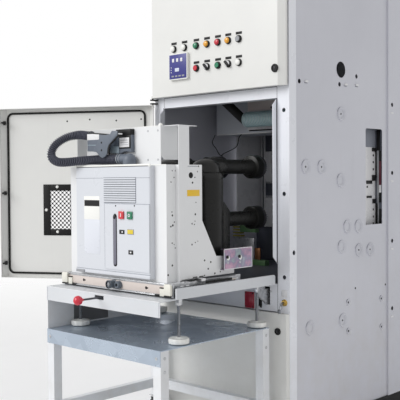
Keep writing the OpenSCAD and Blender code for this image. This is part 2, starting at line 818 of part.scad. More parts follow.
module crank_socket() color("slategray") rod_y(17, [0, carriage_front - 34, deck_z + 30], carriage_front);

module carriage_wheels() color("silver")
    for (y = [carriage_front + 50, carriage_back - 28]) both_sides()
        rod_x(wheel_r, [plate_x, y, deck_z + touch_gap + wheel_r], plate_x + wheel_w);

// Folded zinc plates that carry the breaker's auxiliary contacts
module terminal_plate() {
    out_x = plate_x + 21;
    lo = [-319, housing_z + 27];
    hi = [-147, housing_z + 109];
    t = 3;
    block([out_x - t, lo[0], lo[1]], [out_x, hi[0], hi[1]]);
    for (z = [lo[1], hi[1] - t]) block([plate_x + plate_t, lo[0], z], [out_x - t, hi[0], z + t]);
}

module terminal_plates() color("thistle") both_sides() terminal_plate();

// Slab in front of the shield: depth from the shield to its back and front, and its outline,
// measured from the top of the housing
module on_shield(back, front, outline)
    translate([0, shield_front - back, housing_top]) rotate([90, 0, 0])
        linear_extrude(front - back) polygon(outline);

// Socket's body, the sleeve that the hose leaves, and the latch plate in front of both
module control_plug() color("slategray") {
    on_shield(0, plug_body_d, [[-60, 49], [7, 49], [39, 55], [74, 51], [74, 142], [-60, 142]]);
    on_shield(0, plug_d, [[-158, 60], [-60, 56], [-25, 84], [-25, 122], [-158, 135]]);
    on_shield(plug_d - 1, plug_d - 1 + plug_latch_t, [
        [-99, 52], [-86, 49], [-73, 36], [-58, 31], [-42, 37], [-30, 48], [-27, 69], [-19, 83],
        [33, 118], [32, 134], [-1, 136], [-11, 124], [-60, 124]
    ]);
}

// Tube swept along a list of points, with square ends. Each ring's side direction lies level
// and turns with the route, which keeps the rings in step.
function unit(v) = v / norm(v);
function tangent(p, i) =
    i == 0 ? unit([p[1].x - p[0].x, 0, 0]) :
    i == len(p) - 1 ? unit([p[i].x - p[i - 1].x, 0, 0]) : unit(p[i + 1] - p[i - 1]);
function ring(c, t, r, n) = let (side = unit(cross(t, [0, 0, 1])), up = cross(side, t))
    [for (k = [0 : n - 1]) c + r * (cos(360 * k / n) * side + sin(360 * k / n) * up)];
module swept_tube(p, r, n) {
    m = len(p);
    polyhedron(
        points = [for (i = [0 : m - 1]) each ring(p[i], tangent(p, i), r, n)],
        faces = concat(
            [[for (k = [0 : n - 1]) k]],
            [for (i = [0 : m - 2], k = [0 : n - 1]) each [
                [i * n + k, (i + 1) * n + k, (i + 1) * n + (k + 1) % n],
                [i * n + k, (i + 1) * n + (k + 1) % n, i * n + (k + 1) % n]]],
            [[for (k = [n - 1 : -1 : 0]) (m - 1) * n + k]]
        )
    );
}

module control_hose() color("darkslategray") swept_tube(hose_pts, hose_r, hose_sides);

module hose_gland() color("steelblue") {
    dome_r = 26;
    dome_h = 20;
    dome = [73, shield_front - dome_r];
    rod_x(hose_r + 2, hose_pts[len(hose_pts) - 1], dome.x);
    translate([dome.x, dome.y, housing_top]) rotate_extrude() union() {
        square([dome_r, dome_h]);
        intersection() {
            translate([0, dome_h]) circle(dome_r);
            square(dome_r + dome_h);
        }
    }
}

base_frame();
gland_plate();
front_posts();
side_walls();
rear_sides();
rear_wall();
roof_plate();
header_bar();
opening_collar();
lower_band();
interlock_plate();
key_lock();
cable_door();
cable_door_lock();
compartment_floor();
compartment_ceiling();
shutter_wall();
shutters();
shutter_guides();
socket_box();
wiring_duct();
instrument_back_wall();
door_hinges();
truck_table();
table_rails();
truck_side_panel();
truck_shelf();
jack_screws();
panel_cover();
handwheels();
truck_legs();
castors();
docking_hooks();
release_lever();
breaker_door_panel();
door_gasket();
vent_grille();
latch_pins();
instrument_door_panel();
protection_relay();
control_buttons();
instrument_door_lock();
drive_housing();
front_cover();
operating_panel();
charging_lever();
shield_box();
side_plates();
poles();
contact_arms();
finger_contacts();
carriage();
crank_socket();
carriage_wheels();
terminal_plates();
control_plug();
control_hose();
hose_gland();
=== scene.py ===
"""Looks of a medium-voltage switchgear cabinet whose circuit breaker stands on a service truck."""

import json
from math import cos, pi, radians, sin, tau
from types import SimpleNamespace

import bmesh
import bpy
from mathutils import Matrix, Vector


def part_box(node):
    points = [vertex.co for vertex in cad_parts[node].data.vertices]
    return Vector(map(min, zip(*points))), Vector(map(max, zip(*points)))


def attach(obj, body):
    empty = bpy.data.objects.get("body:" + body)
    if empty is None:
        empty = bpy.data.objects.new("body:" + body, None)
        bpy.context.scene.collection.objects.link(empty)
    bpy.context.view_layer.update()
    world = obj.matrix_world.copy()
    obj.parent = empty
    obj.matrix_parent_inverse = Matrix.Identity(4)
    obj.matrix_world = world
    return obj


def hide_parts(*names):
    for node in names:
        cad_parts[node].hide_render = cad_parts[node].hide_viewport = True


bl_info = {
    "name": "Switchgear Cabinet Looks",
    "version": (1, 0, 0),
    "blender": (4, 5, 0),
    "location": "View3D > Sidebar > Cabinet",
    "description": "Finishes and fine detail for a switchgear cabinet with a withdrawable breaker",
    "category": "Object",
}

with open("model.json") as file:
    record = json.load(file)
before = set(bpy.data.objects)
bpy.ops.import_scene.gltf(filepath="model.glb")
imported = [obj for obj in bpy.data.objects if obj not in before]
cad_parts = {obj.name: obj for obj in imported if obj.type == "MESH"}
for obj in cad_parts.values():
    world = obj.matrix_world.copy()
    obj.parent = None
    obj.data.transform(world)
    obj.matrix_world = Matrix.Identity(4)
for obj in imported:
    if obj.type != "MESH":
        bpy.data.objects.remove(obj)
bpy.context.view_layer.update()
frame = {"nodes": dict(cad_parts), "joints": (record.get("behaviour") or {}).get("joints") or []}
MM = 0.001
LIFT = 0.3
BOTH = (-1, 1)
ON_AXIS = 0.001
SHARP = radians(38)
X, Y, Z = Vector((1, 0, 0)), Vector((0, 1, 0)), Vector((0, 0, 1))


def rgb(red, green, blue):
    """A display colour from 0 to 255 as the linear colour that the shaders take."""
    return tuple((c / 255 / 12.92) if c < 11 else ((c / 255 + 0.055) / 1.055) ** 2.4
                 for c in (red, green, blue))


def rgba(colour):
    """A colour of three numbers with full opacity."""
    return (*colour[:3], 1.0)


# ---- Sizes and colours that a user would change ----


def colour_property(name, description, red, green, blue):
    return bpy.props.FloatVectorProperty(
        name=name, description=description, subtype="COLOR", size=3, min=0, max=1,
        default=rgb(red, green, blue))


def length_property(name, description, millimetres):
    return bpy.props.FloatProperty(
        name=name, description=description, unit="LENGTH", min=0, default=millimetres * MM)


class CabinetPaint(bpy.types.PropertyGroup):
    """Colours of the painted and moulded pieces"""

    door: colour_property("Doors", "Paint on the doors and outer sheets", 228, 228, 225)
    post: colour_property("Posts", "Paint on the posts, the header and the collar", 238, 240, 246)
    # Painted shade: the walls' paint is a darker, bluer copy of the door paint, which the walls really
    # share.
    wall: colour_property("Walls", "Paint on the side walls", 207, 208, 216)
    inside: colour_property("Compartment", "Paint inside the breaker compartment", 84, 88, 100)
    socket: colour_property("Socket box", "Paint on the box above the opening", 196, 200, 208)
    housing: colour_property("Breaker housing", "Paint on the breaker's sheet pieces", 230, 231, 232)
    cover: colour_property("Front cover", "Moulded front of the breaker", 210, 213, 219)
    truck: colour_property("Truck", "Paint on the service truck", 228, 230, 233)
    shelf: colour_property("Truck shelf", "Sheet of the truck's shelf", 186, 198, 212)
    pole: colour_property("Poles", "Cast resin of the poles", 26, 26, 25)
    hose: colour_property("Hose", "Corrugated control hose", 84, 86, 100)
    plug: colour_property("Plug", "Control plug and hose gland", 96, 104, 116)
    red: colour_property("Red pieces", "Release lever's ball and interlock plate", 205, 22, 52)


class CabinetSizes(bpy.types.PropertyGroup):
    """Sizes of the small repeated pieces"""

    screw_radius: length_property("Screw head", "Radius of a screw's head", 5)
    screw_height: length_property("Screw height", "Height of a screw's head", 2.4)
    hole_pitch: length_property("Vent pitch", "Distance between the vent's holes", 21.2)
    hole_radius: length_property("Vent hole", "Radius of a hole in the vent", 6.6)
    rib_pitch: length_property("Hose pitch", "Distance between the hose's ribs", 8)
    louvre_pitch: length_property("Louvre pitch", "Distance between the cover's louvres", 8.8)


class CabinetStage(bpy.types.PropertyGroup):
    """Light, floor and camera"""

    sun: bpy.props.FloatProperty(name="Sun", description="Strength of the key light", default=1.8)
    sky: bpy.props.FloatProperty(name="Sky", description="Strength of the even light", default=0.62)
    floor: colour_property("Floor", "Colour of the floor", 250, 250, 250)
    lens: bpy.props.FloatProperty(
        name="Lens", description="Focal length", subtype="DISTANCE_CAMERA", default=72.61)
    azimuth: bpy.props.FloatProperty(
        name="Azimuth", description="Side that the camera stands on", subtype="ANGLE",
        default=radians(43.422))
    pitch: bpy.props.FloatProperty(
        name="Pitch", description="How far the camera looks down", subtype="ANGLE",
        default=radians(1.455))
    roll: bpy.props.FloatProperty(
        name="Roll", description="Turn of the camera about its own axis", subtype="ANGLE",
        default=radians(-0.356))
    position: bpy.props.FloatVectorProperty(
        name="Position", description="Place of the camera", subtype="TRANSLATION", unit="LENGTH",
        size=3, default=(2.4167, -2.6677, 1.1138))


# ---- Node trees ----


def new_object(name, data):
    """An object in the scene for some data."""
    made = bpy.data.objects.new(name, data)
    bpy.context.scene.collection.objects.link(made)
    return made


def new_mesh(name, shape):
    """A mesh from a shape, which is used up."""
    data = bpy.data.meshes.new(name)
    shape.to_mesh(data)
    shape.free()
    return data


def shade_smooth(mesh):
    mesh.polygons.foreach_set("use_smooth", [True] * len(mesh.polygons))
    mesh.set_sharp_from_angle(angle=SHARP)


def link_or_set(tree, socket, value):
    """Links a socket to another one, or gives it a plain value."""
    if isinstance(value, bpy.types.NodeSocket):
        tree.links.new(value, socket)
    else:
        socket.default_value = value


def put(tree, kind, inputs=None, **settings):
    """Adds a node, sets it up, and fills or links its inputs."""
    made = tree.nodes.new(kind)
    for name, value in settings.items():
        setattr(made, name, value)
    for key, value in (inputs or {}).items():
        link_or_set(tree, made.inputs[key], value)
    return made


def new_group(name, kind, inputs, outputs):
    """A node group with named sockets, given as (name, socket type, default)."""
    tree = bpy.data.node_groups.new(name, kind)
    for label, socket, default in inputs:
        made = tree.interface.new_socket(label, in_out="INPUT", socket_type=socket)
        if default is not None:
            made.default_value = default
    for label, socket in outputs:
        tree.interface.new_socket(label, in_out="OUTPUT", socket_type=socket)
    return tree, tree.nodes.new("NodeGroupInput"), tree.nodes.new("NodeGroupOutput")


def noise(tree, where, scale, detail=3.0, roughness=0.5):
    """Noise texture's value at a place."""
    return put(tree, "ShaderNodeTexNoise", {"Vector": where, "Scale": scale, "Detail": detail,
                                            "Roughness": roughness}).outputs["Fac"]


def ramp(tree, value, low, high, to_low=0.0, to_high=1.0):
    """Maps a value from one range to another, clamped."""
    return put(tree, "ShaderNodeMapRange", {
        "Value": value, "From Min": low, "From Max": high, "To Min": to_low, "To Max": to_high,
    }).outputs["Result"]


def mix(tree, factor, a, b, mode="MIX"):
    """Mixes two colours."""
    made = put(tree, "ShaderNodeMix", {0: factor, 6: a, 7: b}, data_type="RGBA", blend_type=mode)
    return made.outputs[2]


def maths(tree, operation, a, b=0.0):
    """A Math node's value."""
    return put(tree, "ShaderNodeMath", {0: a, 1: b}, operation=operation).outputs[0]


def times(tree, a, b):
    return maths(tree, "MULTIPLY", a, b)


COLOUR, FLOAT, VECTOR = "NodeSocketColor", "NodeSocketFloat", "NodeSocketVector"


def effect_group(name, inputs):
    """A shared effect: its tree, its inputs, the function that ends it, and Object coordinates."""
    tree, given, out = new_group(name, "ShaderNodeTree", inputs, (
        ("Colour", COLOUR), ("Roughness", FLOAT), ("Height", FLOAT)))

    def finished(colour, roughness, height):
        for socket, value in zip(out.inputs, (colour, roughness, height)):
            tree.links.new(value, socket)
        return tree

    return tree, given.outputs, finished, put(tree, "ShaderNodeTexCoord").outputs["Object"]


def powder_coat_group():
    """Sprayed and baked paint: orange peel, slow drift of tone, handling marks and dust below."""
    tree, given, finished, where = effect_group("Powder coat", [
        ("Colour", COLOUR, (0.8, 0.8, 0.8, 1)), ("Peel scale", FLOAT, 420.0),
        ("Roughness", FLOAT, 0.38), ("Marks", FLOAT, 0.4), ("Dust", FLOAT, 0.25)])
    drift = noise(tree, where, 1.7, 4.0, 0.6)
    blotch = noise(tree, where, 9.0, 5.0, 0.62)
    peel = noise(tree, where, given["Peel scale"], 2.0)
    streaks = put(tree, "ShaderNodeMapping", {"Vector": where, "Scale": (26.0, 26.0, 1.6)})
    runs = noise(tree, streaks.outputs["Vector"], 1.0, 5.0, 0.7)
    marks = times(tree, ramp(tree, runs, 0.58, 0.82), given["Marks"])
    height = put(tree, "ShaderNodeSeparateXYZ", {"Vector": where}).outputs["Z"]
    low = ramp(tree, height, 0.9, 0.0)
    dust = times(tree, times(tree, ramp(tree, blotch, 0.42, 0.72), low),
                 given["Dust"])
    darker = mix(tree, 1.0, given["Colour"], (0.93, 0.93, 0.935, 1), "MULTIPLY")
    toned = mix(tree, ramp(tree, drift, 0.35, 0.68), given["Colour"], darker)
    marked = mix(tree, times(tree, marks, 0.22), toned, rgba(rgb(150, 148, 145)))
    dusty = mix(tree, dust, marked, rgba(rgb(186, 180, 170)))
    rough = maths(tree, "ADD", given["Roughness"], ramp(tree, blotch, 0.3, 0.7, -0.05, 0.07))
    return finished(dusty, maths(tree, "ADD", rough, times(tree, marks, 0.2)), peel)


def zinc_group():
    """Zinc plate: crystal patches, fine rolling lines and dull spots."""
    tree, given, finished, where = effect_group("Zinc plate", [
        ("Colour", COLOUR, (0.6, 0.6, 0.6, 1)), ("Patch scale", FLOAT, 90.0),
        ("Tint", FLOAT, 0.0), ("Roughness", FLOAT, 0.32)])
    patches = put(tree, "ShaderNodeTexVoronoi", {"Vector": where, "Scale": given["Patch scale"],
                                                 "Randomness": 1.0}).outputs["Color"]
    patch = put(tree, "ShaderNodeSeparateColor", {"Color": patches}).outputs["Red"]
    lines = put(tree, "ShaderNodeMapping", {"Vector": where, "Scale": (40.0, 40.0, 900.0)})
    rolled = noise(tree, lines.outputs["Vector"], 1.0, 3.0)
    cloud = noise(tree, where, 14.0, 5.0, 0.65)
    rainbow = put(tree, "ShaderNodeValToRGB", {"Fac": cloud})
    stops = rainbow.color_ramp.elements
    stops[0].position, stops[0].color = 0.34, rgba(rgb(172, 196, 190))
    stops[1].position, stops[1].color = 0.70, rgba(rgb(232, 214, 150))
    for place, colour in ((0.45, rgb(160, 150, 176)), (0.54, rgb(214, 168, 188)),
                          (0.62, rgb(150, 168, 196))):
        stops.new(place).color = rgba(colour)
    tinted = mix(tree, given["Tint"], given["Colour"], rainbow.outputs["Color"])
    shade = mix(tree, 1.0, tinted, (0.78, 0.79, 0.80, 1), "MULTIPLY")
    colour = mix(tree, ramp(tree, patch, 0.0, 1.0), tinted, shade)
    rough = maths(tree, "ADD", given["Roughness"], ramp(tree, patch, 0, 1, -0.07, 0.09))
    return finished(colour, maths(tree, "ADD", rough, ramp(tree, cloud, 0.5, 0.75, 0.0, 0.14)), rolled)


def moulded_group():
    """Moulded plastic or rubber: spark-eroded grain, slight flow marks and lighter rubbed patches."""
    tree, given, finished, where = effect_group("Moulded", [
        ("Colour", COLOUR, (0.2, 0.2, 0.2, 1)), ("Grain scale", FLOAT, 900.0),
        ("Roughness", FLOAT, 0.45), ("Rubbed", FLOAT, 0.3)])
    grain = noise(tree, where, given["Grain scale"], 2.0)
    flow = noise(tree, where, 12.0, 4.0, 0.6)
    lighter = mix(tree, 1.0, given["Colour"], (0.06, 0.06, 0.06, 1), "ADD")
    rubbed = times(tree, ramp(tree, flow, 0.5, 0.75), given["Rubbed"])
    rough = maths(tree, "ADD", given["Roughness"], ramp(tree, flow, 0.3, 0.7, -0.06, 0.06))
    return finished(mix(tree, rubbed, given["Colour"], lighter), rough, grain)


GROUPS = {}
FINISHES = {}


def group(name):
    """The shared effect of that name, built once."""
    makers = {"powder": powder_coat_group, "zinc": zinc_group, "moulded": moulded_group}
    if name not in GROUPS:
        GROUPS[name] = makers[name]()
    return GROUPS[name]


def finish(name, effect, colour, values=None, bump=0.02, metallic=0.0, **shader):
    """A material that one shared effect drives; shader names are the shader's own sockets."""
    if name in FINISHES:
        return FINISHES[name]
    made = bpy.data.materials.new(name)
    made.use_nodes = True
    tree = made.node_tree
    tree.nodes.clear()
    effect_node = put(tree, "ShaderNodeGroup", node_tree=group(effect))
    effect_node.inputs["Colour"].default_value = rgba(colour)
    for key, value in (values or {}).items():
        effect_node.inputs[key].default_value = value
    relief = put(tree, "ShaderNodeBump", {"Height": effect_node.outputs["Height"],
                                          "Strength": 0.5, "Distance": bump * MM})
    surface = put(tree, "ShaderNodeBsdfPrincipled", {
        "Base Color": effect_node.outputs["Colour"], "Roughness": effect_node.outputs["Roughness"],
        "Normal": relief.outputs["Normal"], "Metallic": metallic})
    for key, value in shader.items():
        surface.inputs[key.replace("_", " ")].default_value = value
    put(tree, "ShaderNodeOutputMaterial", {"Surface": surface.outputs["BSDF"]})
    FINISHES[name] = made
    return made


def painted(name, colour, roughness=0.38, marks=0.4, dust=0.25):
    return finish(name, "powder", colour, {"Roughness": roughness, "Marks": marks, "Dust": dust},
                  bump=0.05)


def plated(name, colour, tint=0.0, roughness=0.32, patch=90.0):
    return finish(name, "zinc", colour, {"Tint": tint, "Roughness": roughness, "Patch scale": patch},
                  bump=0.02, metallic=0.85)


def moulded(name, colour, roughness=0.45, grain=900.0, rubbed=0.3, **shader):
    return finish(name, "moulded", colour,
                  {"Roughness": roughness, "Grain scale": grain, "Rubbed": rubbed}, bump=0.04, **shader)


# ---- Shapes ----


def box_shape(low, high, bevel=0.0, segments=2):
    """A box with rounded edges; this and the other shapes take millimetres and are built in metres."""
    low, high = (Vector([value * MM for value in corner]) for corner in (low, high))
    bevel *= MM
    size = high - low
    shape = bmesh.new()
    bmesh.ops.create_cube(shape, size=1.0)
    bmesh.ops.scale(shape, vec=size, verts=shape.verts)
    bmesh.ops.translate(shape, vec=(low + high) / 2, verts=shape.verts)
    if bevel:
        bmesh.ops.bevel(shape, geom=shape.edges[:], offset=min(bevel, min(size) * 0.45),
                        segments=segments, profile=0.5, affect="EDGES")
    return shape


def lathe_shape(profile, sides=32):
    """A closed turned shape about Z, from its (radius, height) corners."""
    shape = bmesh.new()
    ring_closed = profile[0] == profile[-1]
    if not ring_closed:
        start, end = ([(0, height)] if radius > ON_AXIS else []
                      for radius, height in (profile[0], profile[-1]))
        profile = [*start, *profile, *end]
    rings = []
    for radius, height in profile:
        turns = [tau * k / sides for k in range(sides if radius > ON_AXIS else 1)]
        reach = radius * MM
        rings.append([shape.verts.new((reach * cos(a), reach * sin(a), height * MM)) for a in turns])
    if ring_closed:
        for v in rings.pop():
            shape.verts.remove(v)
        pairs = list(zip(rings, rings[1:] + rings[:1]))
    else:
        pairs = list(zip(rings, rings[1:]))
    for lower, upper in pairs:
        for k in range(sides):
            n = (k + 1) % sides
            if len(lower) == 1:
                shape.faces.new((lower[0], upper[n], upper[k]))
            elif len(upper) == 1:
                shape.faces.new((lower[k], lower[n], upper[0]))
            else:
                shape.faces.new((lower[k], lower[n], upper[n], upper[k]))
    bmesh.ops.recalc_face_normals(shape, faces=shape.faces)
    return shape


def prism_shape(outline, thickness, bevel=0.0):
    """An outline in the X, Y plane, thickened along +Z."""
    shape = bmesh.new()
    base = shape.faces.new([shape.verts.new((x * MM, y * MM, 0)) for x, y in outline])
    top = bmesh.ops.extrude_face_region(shape, geom=[base])
    bmesh.ops.translate(shape, vec=(0, 0, thickness * MM),
                        verts=[v for v in top["geom"] if isinstance(v, bmesh.types.BMVert)])
    bmesh.ops.recalc_face_normals(shape, faces=shape.faces)
    if bevel:
        bmesh.ops.bevel(shape, geom=shape.edges[:], offset=bevel * MM, segments=2, profile=0.5,
                        affect="EDGES")
    return shape


def round_outline(width, height, radius, steps=5):
    """A rectangle about the origin with round corners."""
    points = []
    for corner, (sx, sy) in enumerate(((1, 1), (-1, 1), (-1, -1), (1, -1))):
        for k in range(steps + 1):
            a = radians(90 * corner + 90 * k / steps)
            points.append((sx * (width / 2 - radius) + radius * cos(a),
                           sy * (height / 2 - radius) + radius * sin(a)))
    return points


def smooth_route(points, steps=8):
    """Points along a smooth curve through the given ones."""
    ends = [points[0] * 2 - points[1], *points, points[-1] * 2 - points[-2]]
    route = []
    for a, b, c, d in zip(ends, ends[1:], ends[2:], ends[3:]):
        for k in range(steps):
            t = k / steps
            route.append(0.5 * (2 * b + (c - a) * t + (2 * a - 5 * b + 4 * c - d) * t * t
                                + (3 * b - a - 3 * c + d) * t ** 3))
    return [*route, points[-1]]


def tube_shape(route, radius, sides=10):
    """A closed tube along a route; radius is a number or one for each point."""
    shape = bmesh.new()
    radii = radius if isinstance(radius, (list, tuple)) else [radius] * len(route)
    side = None
    rings = []
    for k, point in enumerate(route):
        ahead = (route[min(k + 1, len(route) - 1)] - route[max(k - 1, 0)]).normalized()
        if side is None:
            side = ahead.orthogonal().normalized()
        side = (side - ahead * side.dot(ahead)).normalized()
        up = ahead.cross(side)
        rings.append([shape.verts.new((point + radii[k] * (cos(a) * side + sin(a) * up)) * MM)
                      for a in (tau * n / sides for n in range(sides))])
    for first, second in zip(rings, rings[1:]):
        for n in range(sides):
            m = (n + 1) % sides
            shape.faces.new((first[n], first[m], second[m], second[n]))
    shape.faces.new(rings[0][::-1])
    shape.faces.new(rings[-1])
    bmesh.ops.recalc_face_normals(shape, faces=shape.faces)
    return shape


def facing(origin, direction, turn=0.0):
    """Matrix that stands a shape's +Z along a direction at a place."""
    direction = Vector(direction).normalized()
    if abs(direction.z) > 0.999:
        turned = Matrix.Rotation(0 if direction.z > 0 else pi, 4, "X")
    else:
        across = Z.cross(direction).normalized()
        up = direction.cross(across)
        turned = Matrix((across, up, direction)).transposed().to_4x4()
    return Matrix.Translation(Vector(origin)) @ turned @ Matrix.Rotation(turn, 4, "Z")


def metres(matrix):
    """A placing in millimetres, as the placing of a mesh in metres."""
    matrix = matrix.copy()
    matrix.translation = [value * MM for value in matrix.translation]
    return matrix


def quarter(place, axis="X"):
    """Placing with a quarter turn; about X it stands a flat outline up, facing the front."""
    return Matrix.Translation(place) @ Matrix.Rotation(pi / 2, 4, axis)


def settle(piece, body, replaced=()):
    """Shades a finished mesh, and says what it moves with and stands for."""
    shade_smooth(piece.data)
    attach(piece, body)
    if replaced:
        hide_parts(*replaced)
    return piece


class Piece:
    """Collects closed shapes of several materials into one mesh."""

    def __init__(self, name, *materials):
        self.name = name
        self.materials = materials
        self.mesh = bmesh.new()

    def add(self, shape, material=0, matrix=None):
        """Takes a shape in, placed by a matrix."""
        if matrix is not None:
            bmesh.ops.transform(shape, matrix=metres(matrix), verts=shape.verts)
        for face in shape.faces:
            face.material_index = material
        passing = new_mesh("passing", shape)
        self.mesh.from_mesh(passing)
        bpy.data.meshes.remove(passing)
        return self

    def box(self, low, high, material=0, bevel=0.8):
        return self.add(box_shape(low, high, bevel), material)

    def slabs(self, *rows, side=1, bevel=LIFT):
        """Boxes given as x, x, y, y, z, z and a material; side -1 mirrors them in X."""
        for x0, x1, y0, y1, z0, z1, material in rows:
            a, b = sorted((side * x0, side * x1))
            self.box((a, y0, z0), (b, y1, z1), material, bevel)

    def turned(self, origin, direction, profile, material=0, sides=32):
        return self.add(lathe_shape(profile, sides), material, facing(origin, direction))

    def rod(self, start, end, radius, material=0, sides=24, bevel=0.6):
        """A round bar with chamfered ends."""
        start, end = Vector(start), Vector(end)
        length, cut = (end - start).length, min(bevel, radius * 0.4)
        profile = [(0, 0), (radius - cut, 0), (radius, cut), (radius, length - cut),
                   (radius - cut, length), (0, length)]
        return self.turned(start, end - start, profile, material, sides)

    def wire(self, points, radius, material=0, sides=8):
        return self.add(tube_shape(smooth_route([Vector(p) for p in points]), radius, sides), material)

    def place(self, body, slot, *replaced, matrix=None):
        """Makes the mesh an object that rides on a body."""
        if matrix is not None:
            bmesh.ops.transform(self.mesh, matrix=metres(matrix), verts=self.mesh.verts)
        data = new_mesh(self.name, self.mesh)
        for made in self.materials:
            data.materials.append(made)
        return settle(new_object(self.name, data), body, replaced)


# ---- Geometry Nodes ----

GEOMETRY, OBJECT, MATERIAL = "NodeSocketGeometry", "NodeSocketObject", "NodeSocketMaterial"
INTEGER = "NodeSocketInt"


def geometry_tree(name, *inputs):
    """A geometry tree with a geometry input, named sizes and a material."""
    tree, given, out = new_group(name, "GeometryNodeTree", [
        ("Geometry", GEOMETRY, None), *inputs, ("Material", MATERIAL, None)], [("Geometry", GEOMETRY)])
    return tree, given.outputs, out


def end_tree(tree, geometry, given, out):
    """Makes the instances real and paints them."""
    real = put(tree, "GeometryNodeRealizeInstances", {"Geometry": geometry})
    made = put(tree, "GeometryNodeSetMaterial", {"Geometry": real.outputs[0],
                                                 "Material": given["Material"]})
    tree.links.new(made.outputs[0], out.inputs["Geometry"])
    return tree


def turned_to(tree, attribute):
    """Rotation that stands an instance's Z along a vector attribute."""
    vector = put(tree, "GeometryNodeInputNamedAttribute", {"Name": attribute}, data_type="FLOAT_VECTOR")
    return put(tree, "FunctionNodeAlignEulerToVector", {"Vector": vector.outputs["Attribute"]},
               axis="Z").outputs[0]


def join(tree, *geometries):
    """One geometry from several."""
    joined = put(tree, "GeometryNodeJoinGeometry")
    for geometry in geometries:
        tree.links.new(geometry, joined.inputs[0])
    return joined.outputs[0]


def repeat(tree, points, instance, **inputs):
    """An instance on every point."""
    return put(tree, "GeometryNodeInstanceOnPoints", {
        "Points": points, "Instance": instance, **inputs}).outputs[0]


def on_points(tree, given, instance, **inputs):
    """An instance on each point of the input, stood along the point's facing."""
    points = put(tree, "GeometryNodeMeshToPoints", {"Mesh": given["Geometry"]}).outputs[0]
    return repeat(tree, points, instance, Rotation=turned_to(tree, "facing"), **inputs)


def object_shape(tree, held):
    """The geometry of an object input."""
    return put(tree, "GeometryNodeObjectInfo", {"Object": held}).outputs["Geometry"]


def parts_tree():
    """Stands one small part on every point, along the point's facing."""
    tree, given, out = geometry_tree("Parts on points", ("Part", OBJECT, None), ("Scale", FLOAT, 1.0))
    placed = on_points(tree, given, object_shape(tree, given["Part"]), Scale=given["Scale"])
    return end_tree(tree, placed, given, out)


def screw_tree():
    """Pan-head screws on points: a washer face and a tapered head."""
    tree, given, out = geometry_tree(
        "Screws", ("Head radius", FLOAT, 0.005), ("Head height", FLOAT, 0.002))
    radius, height = given["Head radius"], given["Head height"]
    washer = put(tree, "GeometryNodeMeshCylinder", {
        "Vertices": 14, "Radius": times(tree, radius, 1.3),
        "Depth": times(tree, height, 0.5)})
    head = put(tree, "GeometryNodeMeshCone", {
        "Vertices": 14, "Radius Bottom": radius, "Radius Top": times(tree, radius, 0.72),
        "Depth": height})
    screw = join(tree, washer.outputs["Mesh"], head.outputs["Mesh"])
    return end_tree(tree, on_points(tree, given, screw), given, out)


def perforation_tree():
    """A staggered grid of tiles, each with a hole, in the X, Y plane about the origin."""
    tree, given, out = geometry_tree(
        "Perforated sheet", ("Tile", OBJECT, None), ("Columns", INTEGER, 8), ("Rows", INTEGER, 14),
        ("Pitch", FLOAT, 0.014))
    tile = object_shape(tree, given["Tile"])
    sheets = [given["Geometry"]]
    for less in (0, 1):
        columns = maths(tree, "SUBTRACT", given["Columns"], less)
        rows = maths(tree, "SUBTRACT", given["Rows"], less)
        grid = put(tree, "GeometryNodeMeshGrid", {
            "Vertices X": columns, "Vertices Y": rows,
            "Size X": times(tree, maths(tree, "SUBTRACT", columns, 1.0), given["Pitch"]),
            "Size Y": times(tree, maths(tree, "SUBTRACT", rows, 1.0), given["Pitch"])})
        sheets.append(repeat(tree, grid.outputs["Mesh"], tile))
    return end_tree(tree, join(tree, *sheets), given, out)


def ribbed_tube_tree():
    """A corrugated tube along a curve: a core with round ribs."""
    tree, given, out = geometry_tree(
        "Ribbed tube", ("Core radius", FLOAT, 0.012), ("Rib radius", FLOAT, 0.015),
        ("Rib width", FLOAT, 0.004), ("Rib pitch", FLOAT, 0.007), ("Sides", INTEGER, 24),
        ("Core material", MATERIAL, None))
    around = put(tree, "GeometryNodeCurvePrimitiveCircle", {
        "Resolution": given["Sides"], "Radius": given["Core radius"]})
    plain = put(tree, "GeometryNodeCurveToMesh", {
        "Curve": given["Geometry"], "Profile Curve": around.outputs["Curve"], "Fill Caps": True})
    core = put(tree, "GeometryNodeStoreNamedAttribute", {
        "Geometry": plain.outputs[0], "Name": "core", "Value": True}, data_type="BOOLEAN", domain="FACE")
    half = times(tree, maths(tree, "SUBTRACT", given["Rib radius"], given["Core radius"]), 0.6)
    middle = maths(tree, "SUBTRACT", given["Rib radius"], half)
    path = put(tree, "GeometryNodeCurvePrimitiveCircle", {"Resolution": given["Sides"], "Radius": middle})
    section = put(tree, "GeometryNodeCurvePrimitiveCircle", {"Resolution": 8, "Radius": half})
    ring = put(tree, "GeometryNodeCurveToMesh", {
        "Curve": path.outputs["Curve"], "Profile Curve": section.outputs["Curve"]})
    narrow = maths(tree, "DIVIDE", times(tree, given["Rib width"], 0.5), half)
    rib = put(tree, "GeometryNodeTransform", {
        "Geometry": ring.outputs[0],
        "Scale": put(tree, "ShaderNodeCombineXYZ", {"X": 1.0, "Y": 1.0, "Z": narrow}).outputs[0]})
    points = put(tree, "GeometryNodeCurveToPoints", {
        "Curve": given["Geometry"], "Length": given["Rib pitch"]}, mode="LENGTH")
    ribs = repeat(tree, points.outputs["Points"], rib.outputs[0], Rotation=points.outputs["Rotation"])
    end_tree(tree, join(tree, core.outputs[0], ribs), given, out)
    ribbed = out.inputs["Geometry"].links[0].from_socket
    inside = put(tree, "GeometryNodeInputNamedAttribute", {"Name": "core"}, data_type="BOOLEAN")
    painted = put(tree, "GeometryNodeSetMaterial", {
        "Geometry": ribbed, "Selection": inside.outputs["Attribute"], "Material": given["Core material"]})
    tree.links.new(painted.outputs[0], out.inputs["Geometry"])
    return tree


